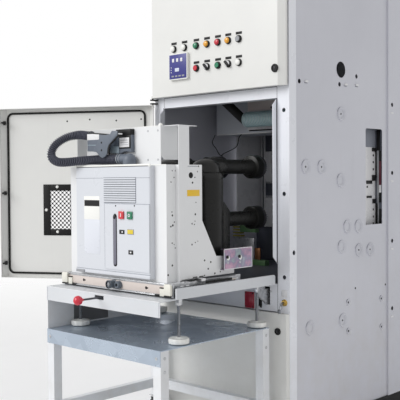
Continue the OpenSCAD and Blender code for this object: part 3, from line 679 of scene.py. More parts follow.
def slats_tree():
    """A row of slats along Z from the origin."""
    tree, given, out = geometry_tree(
        "Slats", ("Count", INTEGER, 9), ("Pitch", FLOAT, 0.01), ("Size", VECTOR, (0.2, 0.003, 0.004)))
    step = put(tree, "ShaderNodeCombineXYZ", {"Z": given["Pitch"]})
    line = put(tree, "GeometryNodeMeshLine", {"Count": given["Count"], "Offset": step.outputs[0]})
    slat = put(tree, "GeometryNodeMeshCube", {"Size": given["Size"]})
    slats = repeat(tree, line.outputs[0], slat.outputs["Mesh"])
    return end_tree(tree, join(tree, given["Geometry"], slats), given, out)


def crown_tree():
    """A crown of parts round each point's facing: contact fingers, or the grips of a wheel."""
    tree, given, out = geometry_tree(
        "Crown", ("Part", OBJECT, None), ("Count", INTEGER, 24), ("Radius", FLOAT, 0.03))
    ring = put(tree, "GeometryNodeMeshCircle", {"Vertices": given["Count"], "Radius": given["Radius"]})
    outward = put(tree, "FunctionNodeAlignEulerToVector",
                  {"Vector": put(tree, "GeometryNodeInputPosition").outputs[0]}, axis="X", pivot_axis="Z")
    crown = repeat(tree, ring.outputs["Mesh"], object_shape(tree, given["Part"]),
                   Rotation=outward.outputs[0])
    return end_tree(tree, on_points(tree, given, crown), given, out)


TREES = {}


def tree_named(name):
    """The geometry tree of that name, built once."""
    makers = {"parts": parts_tree, "screws": screw_tree, "perforation": perforation_tree,
              "ribs": ribbed_tube_tree, "slats": slats_tree, "crown": crown_tree}
    if name not in TREES:
        TREES[name] = makers[name]()
    return TREES[name]


def point_cloud(places):
    """Loose points with the direction that each faces."""
    data = bpy.data.meshes.new("points")
    data.from_pydata([Vector(p) * MM for p, _ in places], [], [])
    facing_data = data.attributes.new("facing", "FLOAT_VECTOR", "POINT")
    facing_data.data.foreach_set("vector", [c for _, d in places for c in Vector(d).normalized()])
    return new_object("points", data)


def route_curve(points):
    """A poly curve through points."""
    data = bpy.data.curves.new("route", "CURVE")
    data.dimensions = "3D"
    spline = data.splines.new("POLY")
    spline.points.add(len(points) - 1)
    for held, point in zip(spline.points, points):
        held.co = (*(point * MM), 1.0)
    return new_object("route", data)


def grow(tree_name, source, name, material, sizes, body, slot, *replaced, matrix=None):
    """Runs a geometry tree on a source object and keeps the result as a plain mesh on a body."""
    tree = tree_named(tree_name)
    modifier = source.modifiers.new(tree.name, "NODES")
    modifier.node_group = tree
    sockets = {s.name: s.identifier for s in tree.interface.items_tree if s.in_out == "INPUT"}
    for label, value in {**sizes, "Material": material}.items():
        modifier[sockets[label]] = value
    evaluated = source.evaluated_get(bpy.context.evaluated_depsgraph_get())
    mesh = bpy.data.meshes.new_from_object(evaluated)
    mesh.name = name
    source.modifiers.remove(modifier)
    bpy.data.objects.remove(source)
    for part in (v for v in sizes.values() if isinstance(v, bpy.types.Object)):
        bpy.data.objects.remove(part)
    if matrix is not None:
        mesh.transform(metres(matrix))
    return settle(new_object(name, mesh), body, replaced)


def part_object(shape, name="part"):
    """A shape as an object for a tree to repeat; grow() removes it."""
    data = new_mesh(name, shape)
    shade_smooth(data)
    return new_object(name, data)


def screws(name, places, material, body, slot, scale=1.0):
    """Screws on a body, given as places with the direction that each faces."""
    sizes = bpy.context.scene.cabinet_sizes
    return grow("screws", point_cloud(places), name, material, {
        "Head radius": sizes.screw_radius * scale, "Head height": sizes.screw_height * scale}, body, slot)


def parts(name, shape, places, material, body, slot):
    """One part repeated on a body."""
    return grow("parts", point_cloud(places), name, material, {"Part": part_object(shape)}, body, slot)


# ---- Frame values ----


def at(x, y, z):
    """A place or an offset in millimetres."""
    return Vector((x, y, z))


def cad_box(name):
    """A CAD node's corners in millimetres."""
    return [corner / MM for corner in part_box(name)]


def cad_middle(name):
    """A CAD node's corners and its middle."""
    low, high = cad_box(name)
    return low, high, (low + high) / 2


JOINTS = {j["name"]: j for j in frame["joints"]}
DOOR_AXIS = Vector(JOINTS["breaker_door_hinge"]["pos_m"]) / MM
DOOR_OPEN = radians(149)
DOOR_EDGE = at(-7, 17.5, 0)
ON_BREAKER_DOOR = (Matrix.Translation(DOOR_AXIS) @ Matrix.Rotation(-DOOR_OPEN, 4, "Z")
                   @ Matrix.Translation(DOOR_EDGE))
DOOR_INNER_Y = -33
DOOR_OUTER_Y = -35


def paint():
    """The colours that a user can change."""
    return bpy.context.scene.cabinet_paint


def dull(level):
    """Weaker mirroring for dark plastics, as a setting of the shader."""
    return {"Specular_IOR_Level": level}


def shades():
    """Finishes that more than one piece uses, made once."""
    p = paint()
    return SimpleNamespace(
        door=painted("door_powder_coat", p.door, 0.36, marks=0.3, dust=0.2),
        post=painted("post_powder_coat", p.post, 0.30, marks=0.3, dust=0.3),
        # Painted shade: darker than the door paint that the walls really share.
        wall=painted("wall_painted_shade_coat", p.wall, 0.34, marks=0.5, dust=0.3),
        inside=painted("compartment_powder_coat", p.inside, 0.42, marks=0.6, dust=0.5),
        housing=painted("housing_powder_coat", p.housing, 0.34, marks=0.3, dust=0.0),
        cover=moulded("cover_plastic", p.cover, 0.32, grain=700.0, rubbed=0.0),
        truck=painted("truck_powder_coat", p.truck, 0.33, marks=0.5, dust=0.4),
        zinc=plated("bright_zinc", rgb(202, 203, 205)),
        steel=plated("turned_steel", rgb(150, 152, 156), roughness=0.28, patch=30.0),
        dark_steel=plated("dark_steel", rgb(92, 92, 96), roughness=0.36, patch=40.0),
        black=moulded("black_plastic", rgb(22, 22, 23), 0.38, rubbed=0.2, **dull(0.25)),
        black_paint=moulded("black_paint", rgb(24, 24, 24), 0.5, rubbed=0.1, **dull(0.2)),
        rubber=moulded("black_rubber", rgb(20, 20, 20), 0.66, grain=600.0, rubbed=0.3, **dull(0.2)),
        resin=moulded("cast_resin", p.pole, 0.3, grain=500.0, rubbed=0.0, **dull(0.2)),
        gloss_resin=moulded("glazed_resin", p.pole, 0.22, grain=500.0, rubbed=0.0, **dull(0.25)),
        # White plastic, also used for painted highlights on pressed rings, terminal plugs and sheet edges.
        white=moulded("white_plastic", rgb(238, 238, 234), 0.36, rubbed=0.0),
        grey=moulded("grey_plastic", rgb(150, 152, 156), 0.42, rubbed=0.2),
        red=moulded("red_plastic", p.red, 0.22, rubbed=0.0, Coat_Weight=0.4, Coat_Roughness=0.1),
        # Label white, also used for painted light on the wall tabs and painted highlights on the carriage
        # rail.
        label=moulded("label_and_highlight_white", rgb(226, 226, 228), 0.3, grain=300.0, rubbed=0.0),
        ink=moulded("printed_grey", rgb(150, 152, 158), 0.4, rubbed=0.0),
        # Grey for seams and for painted shade under tabs, along pressed rings, behind the louvres and at
        # the top of the guide plate.
        shadow=moulded("shade_and_seam_grey", rgb(128, 132, 142), 0.6, rubbed=0.0),
        seam=moulded("seam_grey", rgb(66, 66, 76), 0.6, rubbed=0.0),
        hole=moulded("hole_black", rgb(18, 18, 19), 0.85, rubbed=0.0),
        brass=finish("polished_brass", "zinc", rgb(214, 178, 96),
                        {"Roughness": 0.24, "Patch scale": 60.0}, bump=0.02, metallic=0.9),
        copper=finish("bare_copper", "zinc", rgb(176, 122, 84),
                         {"Roughness": 0.34, "Patch scale": 50.0}, bump=0.02, metallic=0.85),
    )


def lens(name, colour):
    """Coloured cap of a lamp or a push button."""
    return moulded(name, colour, 0.16, rubbed=0.0, Coat_Weight=0.6, Coat_Roughness=0.06)


def coat_nodes(finishes):
    """Paints the CAD nodes that stay as they are."""
    for made, names in finishes:
        for name in names.split():
            mesh = frame["nodes"][name].data
            mesh.materials.clear()
            mesh.materials.append(made)


def carry_out(*steps):
    """Runs an operator's steps, each with the shared finishes."""
    for step in steps:
        step(shades())
    return {"FINISHED"}


class CABINET_OT_sheets(bpy.types.Operator):
    """Finish the sheets, posts, walls and doors that keep their shape"""

    bl_idname = "cabinet.sheets"
    bl_label = "Sheets and walls"

    def execute(self, context):
        s = shades()
        p = paint()
        shelf = finish("shelf_sheet", "zinc", p.shelf, {"Roughness": 0.3, "Patch scale": 14.0},
                       bump=0.02, metallic=0.6)
        # Painted shade: the table and its rails carry a darker copy of the truck paint, which they really
        # share.
        table = painted("truck_paint_shaded_copy", rgb(212, 215, 219), 0.38, marks=0.5, dust=0.3)
        slot_cover = painted("panel_cover_paint", rgb(104, 104, 106), 0.45, marks=0.3, dust=0.2)
        socket = painted("socket_box_paint", p.socket, 0.42, marks=0.5, dust=0.0)
        rainbow = plated("passivated_zinc", rgb(120, 114, 132), tint=0.6, roughness=0.34, patch=30.0)
        coat_nodes([
            (s.door, "breaker_door_panel instrument_door_panel cable_door"),
            (s.post, "front_posts header_bar opening_collar lower_band"),
            (s.wall, "side_walls rear_sides rear_wall roof_plate instrument_back_wall"),
            (s.inside, "compartment_floor compartment_ceiling shutter_wall"),
            (socket, "socket_box"),
            (s.zinc, "gland_plate shutters docking_hooks carriage"),
            (s.housing, "drive_housing shield_box side_plates"),
            (s.cover, "front_cover operating_panel"),
            (table, "truck_table table_rails"),
            (s.truck, "truck_side_panel truck_legs"),
            (s.black_paint, "base_frame door_hinges"),
            (slot_cover, "panel_cover"),
            (s.rubber, "door_gasket"),
            (s.white, "protection_relay"),
            (s.black, "charging_lever"),
            (shelf, "truck_shelf"),
            (rainbow, "terminal_plates"),
        ])
        return {"FINISHED"}


class CABINET_OT_cable(bpy.types.Operator):
    """Control hose with its plug on the shield and its gland on the housing"""

    bl_idname = "cabinet.cable"
    bl_label = "Control hose and plug"

    def execute(self, context):
        s = shades()
        p = paint()
        body = moulded("plug_plastic", p.plug, 0.4, grain=650.0, rubbed=0.3)
        hose = moulded("hose_plastic", p.hose, 0.34, grain=500.0, rubbed=0.5)
        edge = at(0, cad_box("drive_housing")[0].y, cad_box("drive_housing")[1].z)
        route = smooth_route([edge + at(*q) for q in (
            (-158, 11, 123), (-190, 10, 126), (-222, 5, 130), (-248, -9, 128), (-270, -31, 120),
            (-291, -55, 102), (-306, -71, 80), (-312, -78, 54), (-305, -78, 34), (-281, -72, 20),
            (-252, -63, 17), (-215, -47, 19), (-175, -26, 23), (-130, -7, 25), (-85, 6, 26),
            (-40, 9, 26), (9, 9, 26))], steps=5)
        # Painted shade: the core between the ribs is much darker than the ribs, standing in for the shade
        # in the furrows.
        furrow_shade = moulded("hose_furrow_shade", rgb(26, 26, 36), 0.6, rubbed=0.0, Specular_IOR_Level=0.2)
        tube = grow("ribs", route_curve(route), "control_hose_ribbed", hose, {
            "Core radius": 14 * MM, "Rib radius": 18.5 * MM, "Rib width": 4.2 * MM,
            "Rib pitch": context.scene.cabinet_sizes.rib_pitch, "Sides": 26, "Core material": furrow_shade},
            "breaker", "hose_plastic", "control_hose")
        self.plug(body, s, edge, route[0])
        self.gland(body, route[-1])
        return {"FINISHED"}

    def plug(self, body, s, edge, mouth):
        """Socket body on the shield, sleeve for the hose, and the latch plate in front of both."""
        low, high = cad_box("control_plug")
        face, back = low.y, high.y
        socket, sleeve = back - 18, face + 5
        side = moulded("plug_inset", rgb(134, 148, 158), 0.42, grain=650.0, rubbed=0.2)
        made = Piece("control_plug_housing", body, s.black, s.label, s.ink, side)
        layers = [
            ([(-60, 49), (7, 47), (38, 56), (74, 52), (74, 120), (-30, 120)], socket, back, 0, 1.4),
            ([(-58, 50), (4, 48), (4, 76), (-58, 78)], socket - 3, socket + 1, 4, 1),
            ([(2, 66), (72, 66), (72, 121), (2, 121)], socket - 1.5, socket + 1, 1, 0.6),
            ([(-12, 124), (8, 118), (74, 118), (74, 142), (-12, 142)], socket - 4, back, 1, 1.4),
            ([(-158, 60), (-60, 56), (-20, 84), (-20, 122), (-158, 134)], sleeve, back, 0, 1.4),
            ([(-158, 132), (-24, 120), (-24, 124), (-158, 137)], sleeve - 1, back - 2, 1, 0.8),
            ([(-154, 83), (-102, 81), (-102, 85), (-154, 87)], sleeve - 1.4, sleeve + 1, 4, 0.5),
            ([(-120, 58), (-99, 56), (-86, 49), (-73, 36), (-58, 31), (-42, 37), (-30, 48), (-27, 69),
              (-19, 83), (33, 118), (32, 134), (-1, 136), (-11, 124), (-44, 121), (-70, 118)],
             face, face + 6, 0, 1.8),
            ([(-27, 48), (-20, 46), (-20, 68), (-12, 82), (41, 117), (33, 122), (-22, 84), (-30, 70)],
             face + 1.5, face + 7, 1, 0.6),
            ([(-158, 105), (-83, 105), (-83, 129), (-158, 129)], sleeve - 0.5, sleeve + 0.5, 2, 0.2),
            ([(7, 72), (64, 72), (64, 109), (7, 109)], socket - 2.2, socket, 2, 0.2),
            ([(-10, 124), (27, 121), (27, 126), (-10, 129)], socket - 4.6, socket - 3, 2, 0.2),
        ]
        for bar in (80, 89, 98):
            ink = [(12, bar), (58, bar), (58, bar + 1.6), (12, bar + 1.6)]
            layers.append((ink, socket - 2.5, socket - 1.5, 3, 0))
        for outline, near, far, material, bevel in layers:
            made.add(prism_shape(outline, far - near, bevel), material, quarter((0, far, edge.z)))
        for z in (62, 92):
            spot = at(-63, face, edge.z + z)
            made.rod(spot - Y * 0.4, spot + Y * 2, 4.5, 1, sides=14)
        made.turned(mouth, -X, [(20, 0), (20, 5), (18.5, 7)], 1)
        return made.place("breaker", "plug_plastic", "control_plug")
    def gland(self, body, start):
        """Hose collar and the dome that leads the wires into the housing."""
        low, high = cad_box("hose_gland")
        radius = 26
        made = Piece("hose_gland_dome", body, shades().grey)
        hub = at(high.x - radius, high.y - radius, low.z)
        rise = high.z - low.z - radius
        dome = [(radius * cos(a), rise + radius * sin(a))
                for a in (radians(9 * k) for k in range(11))]
        made.turned(hub, Z, [(radius + 1.5, 0), (radius + 1.5, 3), (radius, 4), *dome], 0, 40)
        made.turned(start, X, [
            (18.6, 0), (20.2, 2), (20.2, 9), (18, 10), (18, 14), (20.2, 15), (20.2, 22), (18.4, 24),
            (18.4, hub.x - start.x)])
        for out in (3, 17):
            made.turned(start + X * out, X, [(20.5, 0), (20.5, 3)], 1)
        return made.place("breaker", "plug_plastic", "hose_gland")


class CABINET_OT_instrument_door(bpy.types.Operator):
    """Relay, buttons, switches, lamps and lock of the instrument door"""

    bl_idname = "cabinet.instrument_door"
    bl_label = "Instrument door"

    def execute(self, context):
        return carry_out(self.relay, self.controls, self.lock)

    def relay(self, s):
        """Dark face with a small display, keys and lamps."""
        low, high = cad_box("protection_relay")
        face = moulded("relay_face", rgb(48, 50, 128), 0.38, rubbed=0.1)
        glass = moulded("relay_display", rgb(214, 220, 236), 0.12, rubbed=0.0)
        made = Piece("relay_face", face, glass, s.label, s.grey)
        fields = [(3, high.x - low.x - 4, 4, 114, -1.2, 1, 0), (40, 66, 36, 52, -2.4, -0.8, 1)]
        fields += [(x, x + 13, 80, 96, -2, -0.8, 2) for x in (22, 48, 74)]
        fields += [(x, x + 15, 12, 19, -2, -0.8, 3) for x in (18, 40, 62, 84)]
        for x0, x1, z0, z1, near, far, material in fields:
            made.box(low + at(x0, near, z0), low + at(x1, far, z1), material)
        for z in (34, 45, 56):
            made.turned(low + at(16, -1, z), -Y, [(2.6, 0), (2.2, 1.2), (0, 1.6)], 2, 12)
        made.place("instrument_door", "relay_plastic")
    def controls(self, s):
        """Two rows of push buttons, switches and lamps, with bare label strips."""
        low, high = cad_box("control_buttons")
        front, back = low.y + 14, high.y
        caps = {
            "white": s.white, "grey": s.grey,
            "red": lens("red_cap", rgb(196, 20, 45)), "green": lens("green_cap", rgb(0, 122, 84)),
            "amber": lens("amber_cap", rgb(226, 158, 30))}
        made = Piece("control_devices", s.black, s.label, *caps.values())
        rows = {
            14.5: ((-84, "button", "red"), (-19, "switch", "white"), (46, "button", "green"),
                   (106, "switch", "white"), (166, "lamp", "white")),
            114.5: ((-226, "lamp", "white"), (-158, "lamp", "white"), (-84, "lamp", "green"),
                    (-19, "lamp", "amber"), (46, "lamp", "red"), (106, "lamp", "amber"),
                    (166, "button", "grey"))}
        heads = {
            "lamp": [(12.8, 0), (12.8, 3), (11, 5.6), (7, 7.4), (0, 8.2)],
            "button": [(11.6, 0), (11.6, 3.6), (10.8, 4.4), (0, 4.2)],
            "switch": [(12.6, 0), (12.6, 1), (0, 1.2)]}
        devices = [(x, low.z + up, *rest) for up, row in rows.items() for x, *rest in row]
        for x, z, kind, colour in devices:
            made.turned((x, front, z), -Y, [(16, 0), (16, 3), (14.5, 4), (14.5, 9), (13.6, 10)])
            made.box((x - 17, front - 1, z + 20), (x + 17, front, z + 31), 0, LIFT)
            made.box((x - 14, back - 48, z - 14), (x + 14, back, z + 14))
            cap = 1 if kind == "switch" else 2 + list(caps).index(colour)
            made.turned((x, front - 9, z), -Y, heads[kind], cap)
            if kind == "switch":
                handle = box_shape((-5, -15, 0), (5, 15, 10), 1.5)
                made.add(handle, 0, facing((x, front - 9, z), -Y, radians(42)))
        made.place("instrument_door", "black_plastic", "control_buttons")
    def lock(self, s):
        low, high, middle = cad_middle("instrument_door_lock")
        front = low.y + 8
        made = Piece("instrument_door_latch", s.black, s.dark_steel)
        made.turned((middle.x, front, middle.z), -Y, [
            (17, 0), (17, 5), (15, 7.5), (11, 7.5), (10.5, 5)])
        x, z = middle.x, middle.z
        made.box((x - 1.6, front - 7, z - 7), (x + 1.6, front - 4.6, z + 7), 1)
        made.rod((x, front + 2, z), (x, high.y, z), 9, 1)
        made.box((x - 9, high.y - 9, z - 9), (x + 36, high.y - 5, z + 9), 1)
        made.place("instrument_door", "black_plastic", "instrument_door_lock")


class CABINET_OT_breaker_door(bpy.types.Operator):
    """Vent, holes, latch pins and outer knobs of the breaker door"""

    bl_idname = "cabinet.breaker_door"
    bl_label = "Breaker door"

    GRILLE = (410, 210, 165, 251)
    PIN_X, PIN_Z = 769, (72, 419, 766)

    def execute(self, context):
        return carry_out(self.vent, self.pins, self.holes)

    def vent(self, s):
        """Perforated sheet in a frame, held by four screws."""
        sizes = bpy.context.scene.cabinet_sizes
        pitch, thick = sizes.hole_pitch / MM, 1.2
        x, z, w, h = self.GRILLE
        middle = at(x + w - 90, DOOR_INNER_Y + thick, z + h / 2)
        columns, rows = 6, 10
        tile = self.tile(pitch, sizes.hole_radius / MM, thick)
        grow("perforation", point_cloud([((0, 0, 0), Z)]), "vent_perforation", s.black_paint, {
            "Tile": tile, "Columns": columns, "Rows": rows, "Pitch": pitch * MM},
            "breaker_door", "black_paint", "vent_grille", matrix=ON_BREAKER_DOOR @ quarter(middle))
        rim = Piece("vent_frame", s.black_paint)
        half_w, half_h = (columns - 1.1) * pitch / 2, (rows - 1.1) * pitch / 2
        left, right = middle.x - half_w, middle.x + half_w
        near, far = DOOR_INNER_Y, DOOR_INNER_Y + 2.2
        for x0, x1, z0, z1 in (
                (x, left, z, z + h), (right, x + w, z, z + h), (left, right, z, middle.z - half_h),
                (left, right, middle.z + half_h, z + h)):
            rim.slabs((x0, x1, near, far, z0, z1, 0))
        rim.place("breaker_door", "black_paint", matrix=ON_BREAKER_DOOR)
        places = ((x + w - 73, z + h - 12), (x + w - 15, z + h / 2), (x + w - 73, z + 18),
                  (x + 12, z + h / 2))
        screws("vent_screws", [self.inside(a, b, far) for a, b in places],
               s.white, "breaker_door", "white_plastic", 1.1)

    def inside(self, x, z, y):
        """A place on the door's inner side, with the way that this side faces."""
        return ON_BREAKER_DOOR @ at(x, y, z), ON_BREAKER_DOOR.to_3x3() @ Y
    def tile(self, pitch, radius, thick):
        """One diamond of the perforated sheet, with its round hole."""
        shape = bmesh.new()
        half, steps = pitch / 2, 12
        rings = []
        for z in (-thick / 2, thick / 2):
            hole, edge = [], []
            for k in range(steps):
                a = tau * k / steps
                c, d = cos(a), sin(a)
                reach = half / (abs(c) + abs(d))
                hole.append(shape.verts.new(at(radius * c, radius * d, z) * MM))
                edge.append(shape.verts.new(at(reach * c, reach * d, z) * MM))
            rings.append((hole, edge))
        (hole_low, edge_low), (hole_high, edge_high) = rings
        for k in range(steps):
            n = (k + 1) % steps
            shape.faces.new((hole_high[k], edge_high[k], edge_high[n], hole_high[n]))
            shape.faces.new((edge_low[k], hole_low[k], hole_low[n], edge_low[n]))
            shape.faces.new((hole_low[k], hole_high[k], hole_high[n], hole_low[n]))
            shape.faces.new((edge_high[k], edge_low[k], edge_low[n], edge_high[n]))
        return part_object(shape, "tile")

    def pins(self, s):
        """Latch pins inside, and the knobs that turn them outside."""
        made = Piece("latch_pins_turned", s.black, s.dark_steel)
        for z in self.PIN_Z:
            foot = at(self.PIN_X, DOOR_INNER_Y, z)
            made.turned(foot, Y, [(5, 10), (5, 47), (3.6, 51)], 0, 20)
            made.box(foot + at(-5.5, 13, -10), foot + at(5.5, 27, 10), 0, 2)
            knob = at(self.PIN_X, DOOR_OUTER_Y, z)
            made.turned(knob, -Y, [(13, 0), (13, 5), (11, 7)])
            made.box(knob + at(-1.5, -8, -8), knob + at(1.5, -6, 8), 1)
        made.place("breaker_door", "black_plastic", "latch_pins", matrix=ON_BREAKER_DOOR)
    def holes(self, s):
        """Stud ends on the inside, near the upper edge."""
        places = [self.inside(x, z, DOOR_INNER_Y)
                  for x, z in ((70, 772), (195, 768), (330, 776), (447, 770))]
        parts("door_stud_ends", lathe_shape([(4.2, 0), (3.6, 1), (0, 1.3)], 12), places, s.hole,
              "breaker_door", "black_plastic")


class CABINET_OT_walls(bpy.types.Operator):
    """Pressed knockouts, dimples, lanced tabs and bolts on the walls and the roof"""

    bl_idname = "cabinet.walls"
    bl_label = "Wall details"

    KNOCKOUTS = ((393, 1403), (125, 1165), (242, 1165), (389, 1106), (441, 897), (534, 894),
                 (396, 808), (538, 784), (635, 780), (403, 475), (152, 475))
    DRILLED = ((393, 1403), (125, 1165), (242, 1165), (538, 784), (635, 780), (403, 475))
    DIMPLES = ((448, 551), (734, 537), (736, 401), (450, 420))
    TINY = ((507, 610), (772, 601))
    TABS = ((128, 1526), (428, 1536), (519, 1541), (823, 440), (823, 770), (823, 1100), (823, 1430))
    SKIN, COLUMN, COLUMN_FRONT_Y = 392, 400, 787

    def execute(self, context):
        return carry_out(self.pressed, self.tabs, self.bolts)

    def sides(self, places, out=0.0):
        """Places on both side walls, with the way that they face."""
        return [((side * (self.SKIN + out), y, z), X * side) for side in BOTH for y, z in places]
    def pressed(self, s):
        """Rings pressed into the sheet, with a grey painted shade along their upper front edge and a white
        painted highlight along their lower back edge.
        """
        rings = (
            ("knockout_beads", self.KNOCKOUTS, 40, [
                (19, -LIFT), (21, 0.4), (27, 5.4), (28.6, 6), (30.4, 4.6), (31.6, -LIFT), (19, -LIFT)]),
            ("wall_dimples", self.DIMPLES, 28, [
                (6, -LIFT), (8, 0.6), (12.6, 4.6), (14.6, 4.2), (16.4, -LIFT), (6, -LIFT)]))
        for name, places, sides, profile in rings:
            parts(name, lathe_shape(profile, sides), self.sides(places), s.wall, "cabinet", "wall_paint")
        for name, places, radius, height in (
                ("knockout_centres", self.sides(self.DRILLED, -1), 4, 1.2),
                ("wall_pinholes", self.sides(self.TINY + self.DIMPLES), 5, 0.5)):
            dot = lathe_shape([(radius, -0.2), (radius, height * 0.6), (radius * 0.86, height)], 14)
            parts(name, dot, places, s.hole, "cabinet", "wall_paint")
        shade = Piece("pressed_shades", s.shadow, s.white)
        for side in BOTH:
            for places, radius in ((self.KNOCKOUTS, 30), (self.DIMPLES, 15)):
                for y, z in places:
                    # Painted shade: a grey bow along the upper front of each ring.
                    self.bow(shade, (side * (self.SKIN + 0.4), y, z), radius, 2, 80, 10, 0)
                    # Painted highlight: a white bow along the lower back of each ring.
                    self.bow(shade, (side * (self.SKIN + 1.2), y, z), radius, 3.2, -100, 12, 1)
        shade.place("cabinet", "wall_paint")
    def bow(self, made, middle, radius, thickness, start, step, material):
        """A thin bow along a pressed ring, from one angle in steps, that narrows to its ends."""
        points = 13
        turns = [radians(start + step * k) for k in range(points)]
        route = [Vector(middle) + radius * at(0, cos(a), sin(a)) for a in turns]
        radii = [thickness * sin(pi * (k + 1) / (points + 1)) for k in range(points)]
        made.add(tube_shape(route, radii, 6), material)
    def tabs(self, s):
        """Tongues pushed out of the sheet beside its joining holes, painted whiter than the wall as painted
        light, each over a grey painted shadow.
        """
        made = Piece("lanced_tabs", s.label, s.shadow)
        tongue = [(-12, -5), (7, -5), (12, 0), (7, 5), (-12, 5)]
        under = [(-12, -8), (9, -8), (14, -2), (9, -3), (-12, -4)]
        for side in BOTH:
            for y, z in self.TABS:
                skin = self.COLUMN - 4 if y > self.COLUMN_FRONT_Y else self.SKIN
                stand = facing((side * skin, y, z), X * side)
                # Painted light on the tongue, and a painted shadow below it.
                made.add(prism_shape(tongue, 6, 2), 0, stand)
                made.add(prism_shape(under, 1, LIFT), 1, stand)
        made.place("cabinet", "wall_paint")
    def bolts(self, s):
        """Screws on the roof, the rear wall and the rear columns, and the seam of the rear panels."""
        roof, back_y = cad_box("roof_plate")[1], cad_box("rear_wall")[1].y
        top = [(x, y) for x in (-370, -185, 0, 185, 370) for y in (16, roof.y - 16)]
        top += [(side * 382, y) for side in BOTH for y in range(150, 1390, 155)]
        back = [(side * 378, z) for side in BOTH for z in range(130, 2180, 180)]
        back += [(x, z) for x in (-190, 0, 190) for z in (84, 1130, 2176)]
        screws("roof_screws", [((x, y, roof.z - 3), Z) for x, y in top], s.zinc, "cabinet", "screw_steel")
        screws("rear_screws", [((x, back_y, z), Y) for x, z in back], s.zinc, "cabinet", "screw_steel")
        seam = Piece("rear_panel_seam", s.shadow)
        seam.slabs((-392, 392, back_y - LIFT, back_y + LIFT, 1116, 1118, 0), bevel=0)
        seam.place("cabinet", "wall_paint")
        column = [((side * self.COLUMN, 1370, z), X * side)
                  for side in BOTH for z in range(160, 2180, 240)]
        screws("column_screws", column, s.zinc, "cabinet", "screw_steel")


class CABINET_OT_front(bpy.types.Operator):
    """Locks, interlock plate, label holder and seams of the cabinet's front"""

    bl_idname = "cabinet.front"
    bl_label = "Front details"

    def execute(self, context):
        return carry_out(self.interlock, self.key_lock, self.cable_lock, self.seams)

    def interlock(self, s):
        """Red cover plate with its screws, and the recess for the door's latch."""
        low, high = cad_box("interlock_plate")
        plate = moulded("interlock_red", rgb(158, 28, 52), 0.3, rubbed=0.0)
        made = Piece("interlock_cover", plate, s.hole)
        made.box(low, high, 0, 1.4)
        for x in (low.x + 6, high.x - 6):
            for z in (low.z + 6, high.z - 6):
                made.turned((x, low.y, z), -Y, [(3.2, 0), (2.6, 1), (0, 1.2)], 1, 14)
        made.box((low.x + 12, low.y - 1.2, low.z + 14), (high.x - 12, low.y, high.z - 14))
        made.place("cabinet", "red_plastic", "interlock_plate")
        slot = Piece("latch_recess", s.hole, s.black_paint)
        slot.slabs((240, 252, -0.8, 0.4, 566, 668, 0), (236, 240, -3, 0.4, 572, 662, 1))
        slot.place("cabinet", "black_paint")
    def key_lock(self, s):
        """Brass cylinder with its key in, a ring and a tag."""
        _, high, middle = cad_middle("key_lock")
        made = Piece("key_cylinder", s.brass, s.steel, s.label, s.ink, s.hole)
        made.turned((middle.x, high.y, middle.z), -Y, [
            (14, 0), (14, 3), (12.6, 5), (10.4, 5.4), (10.2, 10), (9, 11)])
        made.box(middle + at(-1.2, -9, -5), middle + at(1.2, -4, 5), 4, 0)
        bow = prism_shape(round_outline(17, 20, 7), 2, 0.5)
        made.add(bow, 1, quarter(middle + at(-1, -16, -4), "Y"))
        made.rod(middle + at(0, -11, 0), middle + at(0, -4, 0), 2.6, 1, 12)
        ring = [middle + at(0, cos(a) * 9 - 21, sin(a) * 9 - 18)
                for a in (tau * k / 16 for k in range(17))]
        made.add(tube_shape(ring, 0.9, 8), 1)
        made.add(prism_shape(round_outline(13, 18, 3), 1.2, LIFT), 1, quarter(middle + at(-6, -21, -34)))
        made.box(middle + at(-16, 5.6, 23), middle + at(15, 6.6, 53), 2, LIFT)
        made.box(middle + at(-15, 5.4, 29), middle + at(-13.6, 5.7, 47), 3, 0)
        made.place("cabinet", "brass", "key_lock")
    def cable_lock(self, s):
        _, high, middle = cad_middle("cable_door_lock")
        made = Piece("cable_door_latch", s.black, s.dark_steel)
        hub = at(middle.x, high.y, middle.z)
        made.turned(hub, -Y, [(15, 0), (15, 4), (13, 7), (9.4, 7.4), (9, 5)])
        made.box(hub + at(-1.5, -7, -6), hub + at(1.5, -4.8, 6), 1)
        made.place("cabinet", "black_plastic", "cable_door_lock")
    def seams(self, s):
        """Dark joints between the posts, the header and the band."""
        made = Piece("front_seams", s.seam)
        low, high = cad_box("header_bar")
        for side in BOTH:
            made.slabs((336.1, 337.9, -LIFT, 0.6, 557, high.z, 0), (337, 337.8, -6, 0, 764, low.z, 0),
                       side=side, bevel=0)
        made.place("cabinet", "post_paint")
        band = [((x, 0, 640), -Y) for x in (-300, 300, 60, -120)]
        screws("band_screws", band, s.zinc, "cabinet", "screw_steel", 0.8)


